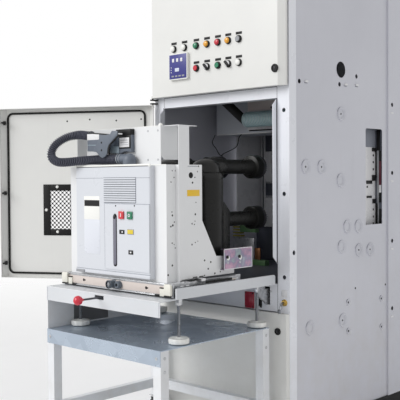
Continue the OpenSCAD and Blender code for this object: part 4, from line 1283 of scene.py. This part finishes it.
class CABINET_OT_compartment(bpy.types.Operator):
    """Wiring duct, rails, wires and guide plates inside the breaker compartment"""

    bl_idname = "cabinet.compartment"
    bl_label = "Compartment"

    def execute(self, context):
        return carry_out(self.duct, self.trim, self.guides, self.terminals)

    def duct(self, s):
        """Ribbed duct along the ceiling, and the black strap that leads to it."""
        low, high = cad_box("wiring_duct")
        hose = moulded("duct_plastic", rgb(186, 214, 218), 0.34, grain=500.0, rubbed=0.3)
        start = at(-38, (low.y + high.y) / 2, low.z + 38)
        end = at(high.x - 6, start.y, start.z)
        steps = 60
        route = [start + (end - start) * k / steps for k in range(steps + 1)]
        grow("ribs", route_curve(route), "ceiling_duct", hose, {
            "Core radius": 32 * MM, "Rib radius": 36 * MM, "Rib width": 6 * MM, "Rib pitch": 9 * MM,
            "Sides": 30}, "cabinet", "duct_plastic", "wiring_duct")
        strap = Piece("duct_strap", moulded("strap_rubber", rgb(22, 22, 22), 0.8, rubbed=0.0), s.grey)
        across = at(-186, start.y, high.z - 1)
        bend = [start + at(4, 0, -14), start + at(-12, 0, -3), across + at(8, 0, -6), across]
        strap.add(tube_shape(bend, 21, 20))
        strap.turned(start + X * 10, -X, [(35, 0), (35, 6), (32, 12), (24, 16), (0, 17)], 1, 30)
        strap.place("cabinet", "black_plastic")
    def trim(self, s):
        """Rail, bracket plate, a black strip of painted shade under the duct, and thin wires in front of
        the socket box.
        """
        low, high = cad_box("socket_box")
        plate = painted("bracket_plate", rgb(236, 224, 220), 0.45, marks=0.6, dust=0.0)
        made = Piece("socket_trim", s.label, plate, s.hole)
        y, right = low.y, high.x
        made.slabs(
            (-106, right, y - 14, y - 2, 1352, 1356, 0), (-106, right, y - 14, y - 11, 1356, 1366, 0),
            # The black strip from z 1366 to 1378 is painted shade under the duct.
            (-106, right, y - 4, y - 2, 1366, 1378, 2), (-106, right, y - 4, y - 2, 1346, 1352, 2),
            (-114, right, y - 3, y, 1440, high.z, 1), (-114, right, y - 9, y - 2, 1438, 1443, 0),
            (low.x, right, y - 2, y + 2, low.z - 2, low.z + 3, 0))
        made.turned((40, y - 9, 1452), -Y, [(7, 0), (7, 1), (0, 1.2)], 2, 16)
        made.place("cabinet", "zinc_sheet")
        wires = Piece("thin_wires", s.black)
        for points in (((-352, 372, 1338), (-350, 350, 1300), (-322, 345, 1270), (-300, 345, 1241),
                        (-284, 350, 1229)),
                       ((-169, 372, 1340), (-170, 348, 1320), (-177, 345, 1286), (-198, 345, 1267),
                        (-274, 345, 1240), (-284, 350, 1229)),
                       ((-284, 350, 1229), (-300, 420, 1190), (-330, 560, 1150), (-345, 700, 1130))):
            wires.wire(points, 2.2)
        wires.place("cabinet", "black_plastic")
    def guides(self, s):
        """Slotted guide plates and the black toothed bars that lift the shutters, with painted shade at the
        top of the plate.
        """
        red = moulded("guide_red", rgb(84, 22, 40), 0.4, rubbed=0.2)
        made = Piece("shutter_guide_plates", s.label, s.black, red, s.hole, s.shadow, s.grey)
        # The grey sheet above z 1263 is painted shade at the top of the guide plate.
        rows = [(350, 354, 540, 744, 857, 1407, 0), (354, 354.6, 600, 744, 1263, 1407, 4)]
        rows += [(354, 355, 720, 730, z - 5, z + 5, 3) for z in (1225, 1192, 1158, 965, 931, 898)]
        rows += [(354, 358, y, 744, z0, z1, 1)
                 for y, z0, z1 in ((712, 1243, 1261), (712, 1102, 1130), (716, 994, 1015))]
        rows += [(354, 357, 662, 712, 1088, 1104, 1), (354, 355, 666, 676, 1069, 1079, 3),
                 (354, 357, 665, 708, 1021, 1031, 1)]
        rows += [(x0, x1, 743, 745.9, z0, z1, material) for x0, x1, z0, z1, material in (
            (354, 363, 1117, 1251, 1), (354, 368, 890, 994, 1), (363, 374, 890, 1247, 5),
            (361, 380, 1247, 1350, 1), (374, 386, 1197, 1247, 1), (374, 386, 1082, 1197, 2),
            (374, 386, 1046, 1082, 0), (374, 386, 998, 1046, 1), (374, 386, 896, 967, 1))]
        rows += [(x, x + width, 731, 742, 857, 1400, 0) for x, width in ((320, 5), (339, 4))]
        for side in BOTH:
            made.slabs(*rows, side=side)
        made.place("cabinet", "zinc_sheet", "shutter_guides")
        comb = Piece("guide_combs", s.label)
        for foot, height in ((1100, 162), (858, 156)):
            teeth = round(height / 27)
            outline = [(0, 0), (42, 0), (42, height), (0, height)]
            for k in range(teeth):
                z = height * (1 - (k + 0.5) / teeth)
                outline += [(-1, z + 7), (-7, z + 3), (-7, z - 3), (-1, z - 7)]
            for side in BOTH:
                stand = (Matrix.Translation((side * 318, 739, foot)) @ Matrix.Diagonal((-side, 1, 1, 1))
                         @ Matrix.Rotation(pi / 2, 4, "X"))
                comb.add(prism_shape(outline, 3, LIFT), 0, stand)
        bmesh.ops.recalc_face_normals(comb.mesh, faces=comb.mesh.faces)
        comb.place("cabinet", "zinc_sheet")
    def terminals(self, s):
        """Coded blocks, a copper strip and an earthing clamp at the compartment's foot."""
        green = moulded("coding_green", rgb(84, 120, 78), 0.45, rubbed=0.3)
        yellow = moulded("coding_yellow", rgb(150, 142, 58), 0.45, rubbed=0.3)
        made = Piece("earthing_parts", green, yellow, s.copper, s.zinc)
        rows = [(-346, -306 + 5 * k, 500, 530, 862 - 15 * k, 870 - 15 * k, 1) for k in range(4)]
        rows += [(-300, -196, 502, 532, 842, 876, 0), (-346, -214, 510, 532, 677, 812, 3),
                 (-200, -168, 500, 510, 706, 764, 2), (-214, -130, 496, 530, 677, 703, 0)]
        made.slabs(*rows, bevel=0.8)
        made.place("cabinet", "brass")


class CABINET_OT_breaker_front(bpy.types.Operator):
    """Louvres, push buttons, indicators, nameplate and charging lever of the breaker's front"""

    bl_idname = "cabinet.breaker_front"
    bl_label = "Breaker front"

    def execute(self, context):
        return carry_out(self.louvres, self.plates, self.devices, self.lever)

    def louvres(self, s):
        """Slats over a grey backing, which is painted shade between the slats."""
        front = cad_box("front_cover")[0].y
        pitch = bpy.context.scene.cabinet_sizes.louvre_pitch / MM
        left, right, foot, count = -43, 144, 1027, 11
        recess = Piece("louvre_recess", s.shadow)
        top = foot + count * pitch
        recess.slabs((left - 1, right + 1, front - LIFT, front, foot - 2, top, 0), bevel=0)
        recess.place("breaker", "cover_plastic")
        middle = ((left + right) / 2, front - 1, foot + pitch * 0.45)
        grow("slats", point_cloud([((0, 0, 0), Z)]), "front_louvres", s.cover, {
            "Count": count, "Pitch": pitch * MM, "Size": at(right - left, 5, pitch * 0.66) * MM},
            "breaker", "cover_plastic", matrix=Matrix.Translation(middle))
    def plates(self, s):
        """Bare nameplate, its black bar, a pale strip, the joints of the cover and a painted shadow line
        above the toe lip.
        """
        front = cad_box("front_cover")[0].y
        panel = cad_box("operating_panel")[0].y
        pale = moulded("pale_plate", rgb(218, 221, 229), 0.3, grain=300.0, rubbed=0.0)
        made = Piece("front_plates", s.white, s.hole, s.shadow, s.cover, s.grey, pale)
        made.slabs((-168, -70, front - 0.7, front, 957, 1050, 0),
                   (-168, -70, front - 0.6, front, 820, 957, 5),
                   (-165, -71, front - 1.2, front - 0.6, 1010, 1034, 1))
        # The line at z 757 is a painted shadow above the toe lip; the other thin lines are joints.
        made.slabs((-36, -35, panel - LIFT, panel, 770, 1019, 2), *(
            (left, 222, front - LIFT, front, z, z + 1.3, 2)
            for left, z in ((-222, 1121), (-43, 1021.5), (-222, 757))), bevel=0)
        made.slabs((-222, 222, front - 4, front, 742, 755, 3), bevel=2)
        made.slabs((-215, -163, front - 7, front - 3.6, 742, 753, 4), bevel=0.8)
        for x, z in ((31, 1014), (140, 1016)):
            made.turned((x, panel, z), -Y, [(3.2, 0), (2.8, 0.8), (0, 1)], 1, 14)
        made.place("breaker", "cover_plastic")
    def devices(self, s):
        """Push buttons with bar and ring, position windows and a counter."""
        panel = cad_box("operating_panel")[0].y
        red = lens("open_button_red", rgb(204, 44, 52))
        green = lens("close_button_green", rgb(0, 118, 80))
        yellow = lens("spring_indicator_yellow", rgb(222, 196, 40))
        made = Piece("front_devices", s.black, red, green, yellow, s.label, s.grey)
        made.slabs((53, 81, panel - 7, panel, 964, 994, 1), (102, 130, panel - 7, panel, 964, 994, 2),
                   bevel=2)
        made.slabs((65.4, 69.4, panel - 7.5, panel - 6.6, 972, 986, 4))
        made.turned((116, panel - 6.9, 979), -Y, [(3.4, 0), (6, 0), (6, 0.6), (3.4, 0.6), (3.4, 0)], 4, 20)
        made.slabs(
            (53, 82, panel - 1.6, panel, 906, 922, 0), (99, 135, panel - 1.6, panel, 906, 926, 5),
            (105, 131, panel - 1.6, panel, 830, 846, 0), (101, 133, panel - 2.4, panel, 908, 924, 3),
            (67, 74, panel - 2.2, panel - 1.4, 911, 917, 4),
            (114, 122, panel - 2.2, panel - 1.4, 835, 841, 4))
        made.place("breaker", "cover_plastic")
    def lever(self, s):
        """Charging lever in its slot."""
        low, high, middle = cad_middle("charging_lever")
        slate = moulded("lever_grey", rgb(108, 107, 120), 0.4, rubbed=0.2)
        made = Piece("charging_handle", s.black, slate)
        y, height = high.y - 4, high.z - low.z
        stand = quarter((middle.x, y, middle.z))
        made.add(prism_shape(round_outline(21, height + 8, 10), LIFT * 2), 0, stand)
        made.add(prism_shape(round_outline(17, height - 6, 7), 4, 1.2), 1, stand)
        made.turned((middle.x, y, high.z - 8), -Y, [(7.5, 0), (7.5, 4.4), (6, 5.6), (0, 6)], 0, 20)
        made.place("breaker", "black_plastic", "charging_lever")


class CABINET_OT_breaker_frame(bpy.types.Operator):
    """Holes, sticker, crossbar, crank socket, plugs and wheels of the breaker's frame"""

    bl_idname = "cabinet.breaker_frame"
    bl_label = "Breaker frame"

    PLATE_HOLES = ((-474, 1102, 4), (-456, 1027, 2.4), (-460, 982, 4), (-462, 956, 2.2), (-478, 947, 3.2),
                   (-465, 944, 2.4), (-479, 868, 3.4), (-461, 875, 2.4), (-447, 879, 2), (-410, 803, 4),
                   (-375, 794, 4), (-390, 769, 4), (-352, 748, 4), (-411, 745, 3), (-441, 1164, 3),
                   (-447, 1144, 2.6), (-461, 1122, 2.6), (-320, 752, 3))
    HOUSING_HOLES = ((-567, 994, 2.6), (-565, 981, 3.8), (-555, 956, 2.6), (-563, 944, 4.2), (-567, 878, 3),
                     (-551, 859, 2.6), (-567, 795, 4), (-589, 761, 4), (-564, 1147, 2.4), (-547, 1147, 2.6),
                     (-555, 1122, 2.6), (-571, 1105, 2.6), (-573, 940, 3.6), (-557, 872, 2))
    END_HANDLES = (
        (5, [(288, 325, -618, -605, 688, 731, 4)]), (1, [(289, 324, -617, -605, 683, 688, 1)]),
        (2, [(262, 287, -612, -605, 684, 714, 4)]),
        (0.4, [(263, 286, -613, -605, 712, 716, 1), (235, 262, -611.5, -605, 683, 688, 1),
               (303, 323, -512, -487, 732, 737, 1), (303, 323, -470, -452, 732, 736, 1)]),
        (1, [(303, 325.2, -450, -428, 728, 738, 2)]),
        (0.4, [(324, 325.3, -428, -276, 718, 727, 1), (303, 324, -428, -240, 732, 733, 5),
               (324, 325.3, -276, -252, 717.6, 723, 0), (324, 325.3, -252, -238, 717.6, 725, 3),
               # The two white strips at y -564 and -534 are painted highlights on the rail's top.
               (324, 325.3, -564, -548, 718, 722, 2), (324, 325.3, -534, -518, 718, 722, 2),
               (302.4, 303, -475, -451, 741, 745, 1), (302.4, 303, -441, -417, 741, 745, 1)]))

    def execute(self, context):
        return carry_out(self.holes, self.crossbar, self.crank, self.wheels, self.plugs, self.shield)

    def holes(self, s):
        """Drilled holes, a round opening, a seam and a sticker on both sides."""
        plate, housing = cad_box("side_plates")[1].x, cad_box("drive_housing")[1].x
        for name, skin, places in (("plate_holes", plate, self.PLATE_HOLES),
                                   ("housing_holes", housing, self.HOUSING_HOLES)):
            made = Piece(name, s.hole, s.shadow)
            for side in BOTH:
                for y, z, radius in places:
                    made.turned((side * skin, y, z), X * side, [(radius, 0), (radius * 0.8, 0.5)], 0, 14)
                if skin == plate:
                    made.turned((side * skin, -483, 1130), X * side, [(11.5, 0), (11, 0.6)], 0, 28)
                    made.box((side * skin - 0.3, -500, 1163), (side * skin + 0.4, -446, 1165), 1, 0)
            made.place("breaker", "housing_paint")
        sticker = Piece("plate_sticker", moulded("sticker_yellow", rgb(236, 192, 44), 0.35, rubbed=0.0))
        for side in BOTH:
            sticker.slabs((plate, plate + 0.5, -504, -436, 1051, 1075, 0), side=side)
        sticker.place("breaker", "housing_paint")
    def crossbar(self, s):
        """Pale rails, keyhole slots and end handles of the carriage, with two painted highlights on a rail.
        """
        low, high = cad_box("carriage")
        front = low.y
        pink = painted("crossbar_paint", rgb(216, 205, 198), 0.34, marks=0.5, dust=0.2)
        cream = moulded("end_block_cream", rgb(226, 224, 214), 0.4, rubbed=0.0)
        made = Piece("crossbar_face", pink, s.hole, s.label, s.zinc, cream, s.grey)
        made.slabs((low.x + 34, high.x - 34, front - 2, front, low.z + 8, high.z - 10, 0), *(
            (low.x, high.x, front - 6, front, z, z + 4.5, 3) for z in (low.z + 1, high.z - 6)), bevel=0.8)
        for x in (-281, -190, 184, 268):
            for dx, radius in ((0, 6), (9, 3)):
                made.turned((x + dx, front - 2, 707), -Y, [(radius, 0), (radius * 0.85, 0.6)], 1, 16)
            made.slabs((x, x + 11, front - 2.6, front - 2, 705, 709, 1), bevel=0)
        for side in BOTH:
            for bevel, rows in self.END_HANDLES:
                made.slabs(*rows, side=side, bevel=bevel)
        made.place("breaker", "zinc_sheet")
    def crank(self, s):
        """Socket that the racking crank fits, and the plug beside it."""
        low, high, middle = cad_middle("crank_socket")
        slate = moulded("socket_slate", rgb(98, 106, 116), 0.36, rubbed=0.3)
        made = Piece("crank_entry", slate, s.black, s.steel, s.hole)
        ring = [(12.4, 0), (15.4, 0), (15.4, 2.4), (12.4, 2.4), (12.4, 0)]
        for x, y, z, profile, material, sides in (
                (middle.x, high.y, middle.z, [(17, 0), (17, 6), (15, 7), (15, 24), (16.6, 26), (16.6, 33),
                                              (13.5, 34), (12.6, 30)], 0, 36),
                (middle.x, low.y + 2.5, middle.z, ring, 1, 36),
                (middle.x, low.y + 6, middle.z, [(8, 0), (8, 4), (6, 4.6)], 2, 6),
                (middle.x + 33, high.y, middle.z - 1,
                 [(15, 0), (15, 16), (12, 20), (7, 20), (6, 14)], 0, 30),
                (middle.x + 33, high.y - 14, middle.z - 1, [(6, 0), (6, 0.6)], 3, 20)):
            made.turned((x, y, z), -Y, profile, material, sides)
        made.place("breaker", "plug_plastic", "crank_socket")
    def wheels(self, s):
        """Wheels that run on the rails."""
        low, high = cad_box("carriage_wheels")
        radius = 20
        made = Piece("track_wheels", s.steel)
        for side in BOTH:
            for y in (low.y + radius, high.y - radius):
                made.turned((side * 300, y, low.z + radius), X * side, [
                    (12, 0), (12, 1.6), (18, 2), (radius, 3), (radius, 9), (18, 10), (11, 10), (10, 8),
                    (5, 8), (5, 12)])
        made.place("breaker", "screw_steel", "carriage_wheels")
    def plugs(self, s):
        """Bright rims of the terminal plates, with their hollow plugs; a white disc set low behind each
        hollow shows as a painted highlight on the plug's lower rim.
        """
        low, high = cad_box("terminal_plates")
        made = Piece("terminal_plugs", s.zinc, s.hole, s.label, s.white)
        rims = [(high.x - 2, high.x + 0.4, *ends, 2) for ends in (
            (low.y, high.y, low.z, low.z + 3), (low.y, high.y, high.z - 3, high.z),
            (low.y, low.y + 3, low.z, high.z), (high.y - 3, high.y, low.z, high.z))]
        for side in BOTH:
            for y, z in ((-297, 806), (-224, 804)):
                for dy, dz, profile, material, sides in (
                        # White disc set low and back: a painted highlight round the dark hollow.
                        (3, -2, [(9, -0.3), (9, 1.4), (8, 2)], 3, 22),
                        (-2, 2.4, [(6.6, 0), (6.6, 2.4)], 1, 18),
                        (1, -20, [(2.4, -0.3), (5, -0.3), (5, 1), (2.4, 1), (2.4, -0.3)], 0, 14)):
                    made.turned((side * high.x, y + dy, z + dz), X * side, profile, material, sides)
            made.slabs(*rims, side=side)
        made.place("breaker", "iridescent_zinc")
    def shield(self, s):
        """Screws and stop of the shield box, and white strips along the top front edges of the shield and
        the two sheets below it, which are painted highlights on these edges.
        """
        low, high = cad_box("shield_box")
        places = [((x, low.y, z), -Y) for x in (-205, 150, 205) for z in (1190, 1300)]
        screws("shield_screws", places, s.zinc, "breaker", "housing_paint", 0.7)
        made = Piece("shield_stop", s.white)
        made.turned((high.x - 8, low.y + 8, high.z), Z, [
            (9, 0), (9, 3), (7.4, 7), (4, 9.4), (0, 10)], 0, 24)
        # White strips along the top front edges: painted highlights.
        made.slabs((low.x, high.x, low.y - LIFT, low.y + 2, high.z - 1, high.z + 0.8, 0))
        left, right = cad_box("drive_housing")
        made.slabs((left.x, right.x, left.y - 1, left.y + 2, right.z - 2.5, right.z + 1, 0), bevel=1)
        made.slabs((-222, 222, -619, -613, right.z - 8, right.z + 4, 0), bevel=2.4)
        made.place("breaker", "housing_paint")


class CABINET_OT_poles(bpy.types.Operator):
    """Cast poles, contact arms and tulip contacts"""

    bl_idname = "cabinet.poles"
    bl_label = "Poles and contacts"

    POLE_X, POLE_Y = (-210, 0, 210), -300
    ARM_Z = (950, 1166)

    def execute(self, context):
        return carry_out(self.cast_poles, self.arms, self.contacts)

    def cast_poles(self, s):
        """Columns with a glazed cap, a foot block for the lower arm and two fixings at the front."""
        low, high = cad_box("poles")
        made = Piece("cast_poles", s.resin, s.steel, s.gloss_resin)
        height, width = high.z - low.z, high.x - self.POLE_X[-1]
        column = [(width - 9, 0), (width - 2, 7), (width - 1, 20), (width - 1, height - 82)]
        cap = [(width - 2, 0), (width, 4), (width, 19), (width - 2, 24), (width - 11, 29), (width - 13, 50),
               (width - 18, 63), (width - 28, 74), (width - 42, 81), (width - 57, 84)]
        block = [(-300, low.z), (-200, low.z), (-200, 985), (-204, 990), (-232, 1022), (-240, 1025),
                 (-300, 1025)]
        for x in self.POLE_X:
            foot = at(x, self.POLE_Y, low.z)
            made.turned(foot, Z, column, 0, 48)
            made.turned(foot + Z * (height - 84), Z, cap, 2, 48)
            made.add(prism_shape(block, 80, 4), 0, quarter((x - 40, 0, 0), "Z") @ quarter((0, 0, 0)))
            for z in (low.z + 60, high.z - 110):
                made.box((x - 30, low.y, z), (x + 30, self.POLE_Y - width * 0.7, z + 36), 0, 4)
                for bolt in (x - 18, x + 18):
                    made.turned((bolt, low.y + 9, z + 36), Z, [(6, 0), (6, 4), (5, 5)], 1, 6)
        made.place("breaker", "pole_resin", "poles")
    def arms(self, s):
        """Arms that narrow behind a root, which is thicker on the upper arm."""
        reach = cad_box("contact_arms")[1].y - self.POLE_Y
        made = Piece("insulated_arms", s.resin)
        for x in self.POLE_X:
            for z, root in zip(self.ARM_Z, (31, 37)):
                made.turned((x, self.POLE_Y, z), Y, [
                    (root, 0), (root, 72), ((root + 30) / 2, 96), (30, 116), (30, reach - 8),
                    (33, reach - 4), (33, reach)], 0, 36)
        made.place("breaker", "pole_resin", "contact_arms")
    def contacts(self, s):
        """Round shrouds with a steel rim and a ring of contact fingers inside."""
        low, high = cad_box("finger_contacts")
        made = Piece("contact_shrouds", s.resin, s.dark_steel)
        shroud = [(45, 0), (48.5, 2), (49.6, 5), (49.6, 38), (46, 42), (40, 42), (40, 10)]
        rim = [(40, 38), (47, 38), (50, 43), (50, 53), (47, 58), (43, 60), (40, 56), (40, 38)]
        for x in self.POLE_X:
            for z in self.ARM_Z:
                made.turned((x, low.y, z), Y, shroud, 0, 44)
                made.turned((x, low.y, z), Y, rim, 1, 44)
        made.place("breaker", "pole_resin", "finger_contacts")
        finger = prism_shape([(-2.5, 0), (2.5, 0), (2.5, 50), (1, 54), (-2.5, 52)], 5, 0.6)
        bmesh.ops.transform(finger, matrix=quarter((0, 0, 0)), verts=finger.verts)
        mouths = [((x, high.y - 56, z), Y) for x in self.POLE_X for z in self.ARM_Z]
        grow("crown", point_cloud(mouths), "contact_fingers", s.zinc, {
            "Part": part_object(finger), "Count": 24, "Radius": 35 * MM}, "breaker", "zinc_sheet")


class CABINET_OT_truck(bpy.types.Operator):
    """Handwheels, jack screws, release lever, castors and bolts of the service truck"""

    bl_idname = "cabinet.truck"
    bl_label = "Service truck"

    WHEEL_RADIUS = 40

    def execute(self, context):
        return carry_out(self.handwheels, self.screw_jacks, self.lever, self.castors, self.fittings)

    def jack_places(self):
        """Feet of the four handwheels."""
        low, high = cad_box("handwheels")
        reach = self.WHEEL_RADIUS
        return [at(side * (high.x - reach), y, low.z) for side in BOTH
                for y in (low.y + reach, high.y - reach)]
    def handwheels(self, s):
        """Round grips with twelve shallow waves and a low hub."""
        low, high = cad_box("handwheels")
        height = high.z - low.z
        waves, depth = 12, 0.6
        turns = [tau * k / (8 * waves) for k in range(8 * waves)]
        reaches = [self.WHEEL_RADIUS - depth + depth * cos(waves * a) for a in turns]
        outline = [(reach * cos(a), reach * sin(a)) for a, reach in zip(turns, reaches)]
        made = Piece("jack_grips", s.white)
        for place in self.jack_places():
            made.add(prism_shape(outline, height - 2, 5), 0, Matrix.Translation(place))
            made.turned(place + Z * (height - 3), Z, [(18, 0), (16, 1.6), (14, 3)])
        made.place("cabinet", "white_plastic", "handwheels")
    def screw_jacks(self, s):
        """Threaded rods in nut blocks."""
        low, high = cad_box("jack_screws")
        made = Piece("threaded_jacks", s.steel, s.zinc)
        block, radius, pitch = 30, 6.5, 4
        top = high.z - block
        length = top - low.z
        profile = [(0, 0)]
        for k in range(int(length / pitch)):
            profile += [(radius, k * pitch + 0.6), (radius * 0.82, (k + 0.5) * pitch + 0.6)]
        profile.append((radius, length))
        for x, y, _ in self.jack_places():
            made.turned((x, y, low.z), Z, profile, 0, 16)
            made.box((x - 10, y - 10, top), (x + 10, y + 10, high.z), 1, 3)
            made.box((x - 16, y - 16, high.z - 6), (x + 16, y + 16, high.z), 1, 1)
        made.place("cabinet", "screw_steel", "jack_screws")
    def lever(self, s):
        """Round knob on a steel rod, whose eye turns on the table's pin."""
        low, high, middle = cad_middle("release_lever")
        radius = middle.x - low.x
        ball = at(0, low.y + radius, middle.z)
        pivot = at(0, high.y - 13, ball.z)
        made = Piece("release_handle", s.red, s.dark_steel)
        turns = [pi * k / 12 for k in range(1, 12)]
        globe = [(radius * sin(a), radius * (1 - cos(a))) for a in turns]
        made.turned(ball - Y * radius, Y, [(0, 0), *globe, (0, 2 * radius)])
        made.turned(ball + Y * (radius - 2), Y, [(7, 0), (5.5, 7)], 0, 20)
        made.rod(ball + Y * radius, pivot - Y * 6, 4, 1)
        made.turned(pivot - Z * 4, Z, [
            (4.15, 0), (12.4, 0), (13, 0.6), (13, 7.4), (12.4, 8), (4.15, 8), (4.15, 0)], 1, 40)
        made.place("lever", "red_plastic", "release_lever")
    def castors(self, s):
        """Swivel castors with a fork, a tyre and a brake plate."""
        low, high = cad_box("castors")
        radius, width = 50, 38
        rubber = moulded("castor_tyre", rgb(60, 60, 62), 0.6, grain=400.0, rubbed=0.5)
        made = Piece("swivel_castors", rubber, s.zinc, s.steel, s.grey)
        tyre = [(34, 0), (46, 0), (49.4, 4), (radius, 10), (radius, 20), (49.4, 26), (46, 30), (34, 30),
                (34, 0)]
        rim = [(12, 0), (13, 4), (34.6, 5), (34.6, 21), (13, 22), (12, 26)]
        fork = [(-9, -12), (9, -12), (13, 0), (22, 46), (22, 52), (-22, 52), (-22, 46), (-12, 0)]
        for side in BOTH:
            x = side * (high.x - width / 2)
            for y in (low.y + radius, high.y - radius):
                hub = at(x, y, radius)
                made.turned(hub - X * 15, X, tyre, 0, 40)
                made.turned(hub - X * 13, X, rim, 3)
                for wall in BOTH:
                    made.add(prism_shape(fork, 2.4, 0.6), 1, facing(hub + X * wall * 16.5, X * wall))
                made.rod(hub - X * 19, hub + X * 19, 5, 2, 12)
                made.box((x - 19, y - 23, radius + 50), (x + 19, y + 23, radius + 54), 1)
                made.turned((x, y, radius + 54), Z, [(17, 0), (17, 3), (14, 4), (14, 5)], 2, 28)
                made.box((x - 19, y - 32, 109), (x + 19, y + 32, 112), 1)
        made.place("cabinet", "castor_rubber", "castors")
    def fittings(self, s):
        """Bolts on the legs, and the seam and the front edge of the table's flange."""
        legs_low, legs_high = cad_box("truck_legs")
        low, high = cad_box("truck_table")
        places = [((side * legs_high.x, y, z), X * side) for side in BOTH
                  for y in (legs_low.y + 20, legs_high.y - 20) for z in (172, 420, 470)]
        places += [((x, low.y, 470), -Y) for x in (-318, 318)]
        screws("leg_bolts", places, s.zinc, "cabinet", "screw_steel")
        seam = Piece("flange_seam", s.shadow, s.truck)
        edge = high.x - 5
        for side in BOTH:
            seam.slabs((edge - 0.6, edge + 0.6, low.y - LIFT, low.y + LIFT, low.z, high.z, 0),
                       side=side, bevel=0)
        seam.slabs((low.x, high.x, low.y - 1.2, low.y + 1, high.z - 3, high.z + LIFT, 1))
        seam.place("cabinet", "truck_paint")


class CABINET_OT_stage(bpy.types.Operator):
    """Camera, light and a pale floor"""

    bl_idname = "cabinet.stage"
    bl_label = "Camera, light and floor"

    def execute(self, context):
        settings = context.scene.cabinet_stage
        context.scene.view_settings.view_transform = "Standard"
        self.camera(context, settings)
        self.lights(context, settings)
        self.floor(context, settings)
        return {"FINISHED"}

    def camera(self, context, settings):
        a, p = settings.azimuth, settings.pitch
        ahead = Vector((-sin(a) * cos(p), cos(a) * cos(p), -sin(p)))
        across = Vector((cos(a), sin(a), 0))
        up = across.cross(ahead)
        level = Matrix((across, up, -ahead)).transposed().to_4x4()
        data = bpy.data.cameras.new("camera")
        data.lens = settings.lens
        data.clip_end = 200
        camera = new_object("camera", data)
        camera.matrix_world = (Matrix.Translation(settings.position) @ level
                               @ Matrix.Rotation(settings.roll, 4, "Z"))
        context.scene.camera = camera

    def lights(self, context, settings):
        data = bpy.data.lights.new("key", "SUN")
        data.energy = settings.sun
        data.angle = radians(36)
        new_object("key", data).matrix_world = facing((0, 0, 4), (-0.35, -0.8, 0.5))
        world = bpy.data.worlds.new("studio")
        world.use_nodes = True
        tree = world.node_tree
        tree.nodes.clear()
        seen = self.seen(tree)
        even = put(tree, "ShaderNodeBackground", {"Color": (1, 1, 1, 1), "Strength": settings.sky})
        white = put(tree, "ShaderNodeBackground", {"Color": (1, 1, 1, 1), "Strength": 1.0})
        both = put(tree, "ShaderNodeMixShader", {0: seen, 1: even.outputs[0], 2: white.outputs[0]})
        put(tree, "ShaderNodeOutputWorld", {"Surface": both.outputs[0]})
        context.scene.world = world

    def seen(self, tree):
        """1 for the rays that show the background itself."""
        path = put(tree, "ShaderNodeLightPath").outputs
        mirrored = maths(tree, "MAXIMUM", path["Is Glossy Ray"], path["Is Transmission Ray"])
        return maths(tree, "MAXIMUM", path["Is Camera Ray"], mirrored)

    def floor(self, context, settings):
        """A round floor that fades into the white background."""
        made = bpy.data.materials.new("studio_floor")
        made.use_nodes = True
        tree = made.node_tree
        tree.nodes.clear()
        where = put(tree, "ShaderNodeTexCoord").outputs["Object"]
        away = put(tree, "ShaderNodeVectorMath", {0: where}, operation="LENGTH").outputs["Value"]
        grain = noise(tree, where, 3.0)
        tone = mix(tree, ramp(tree, grain, 0.3, 0.7), rgba(settings.floor),
                   (*[0.985 * c for c in settings.floor], 1))
        matt = put(tree, "ShaderNodeBsdfDiffuse", {"Color": tone})
        clear = put(tree, "ShaderNodeBsdfTransparent")
        both = put(tree, "ShaderNodeMixShader", {
            0: ramp(tree, away, 2.6, 6.5), 1: matt.outputs[0], 2: clear.outputs[0]})
        put(tree, "ShaderNodeOutputMaterial", {"Surface": both.outputs[0]})
        shape = bmesh.new()
        bmesh.ops.create_circle(shape, cap_ends=True, segments=96, radius=7.0)
        data = new_mesh("floor", shape)
        data.materials.append(made)
        new_object("floor", data)


class CABINET_PT_panel(bpy.types.Panel):
    """Lists the operators and their sizes and colours"""

    bl_idname = "CABINET_PT_panel"
    bl_label = "Switchgear cabinet"
    bl_space_type = "VIEW_3D"
    bl_region_type = "UI"
    bl_category = "Cabinet"

    def draw(self, context):
        for held in ("cabinet_stage", "cabinet_paint", "cabinet_sizes"):
            group_held = getattr(context.scene, held)
            box = self.layout.box()
            for name in group_held.bl_rna.properties.keys():
                if name not in ("rna_type", "name"):
                    box.prop(group_held, name)
        for step in STEPS:
            self.layout.operator(step.bl_idname)


STEPS = (CABINET_OT_stage, CABINET_OT_cable, CABINET_OT_sheets, CABINET_OT_walls, CABINET_OT_front,
         CABINET_OT_instrument_door, CABINET_OT_breaker_door, CABINET_OT_compartment,
         CABINET_OT_breaker_front, CABINET_OT_breaker_frame, CABINET_OT_poles, CABINET_OT_truck)
HELD = {"cabinet_paint": CabinetPaint, "cabinet_sizes": CabinetSizes, "cabinet_stage": CabinetStage}


def register():
    for made in (*HELD.values(), *STEPS, CABINET_PT_panel):
        bpy.utils.register_class(made)
    for name, kind in HELD.items():
        setattr(bpy.types.Scene, name, bpy.props.PointerProperty(type=kind))


def unregister():
    for name in HELD:
        delattr(bpy.types.Scene, name)
    for made in reversed((*HELD.values(), *STEPS, CABINET_PT_panel)):
        bpy.utils.unregister_class(made)


def main():
    register()
    for step in STEPS:
        category, name = step.bl_idname.split(".")
        getattr(getattr(bpy.ops, category), name)()


if __name__ == "__main__":
    main()
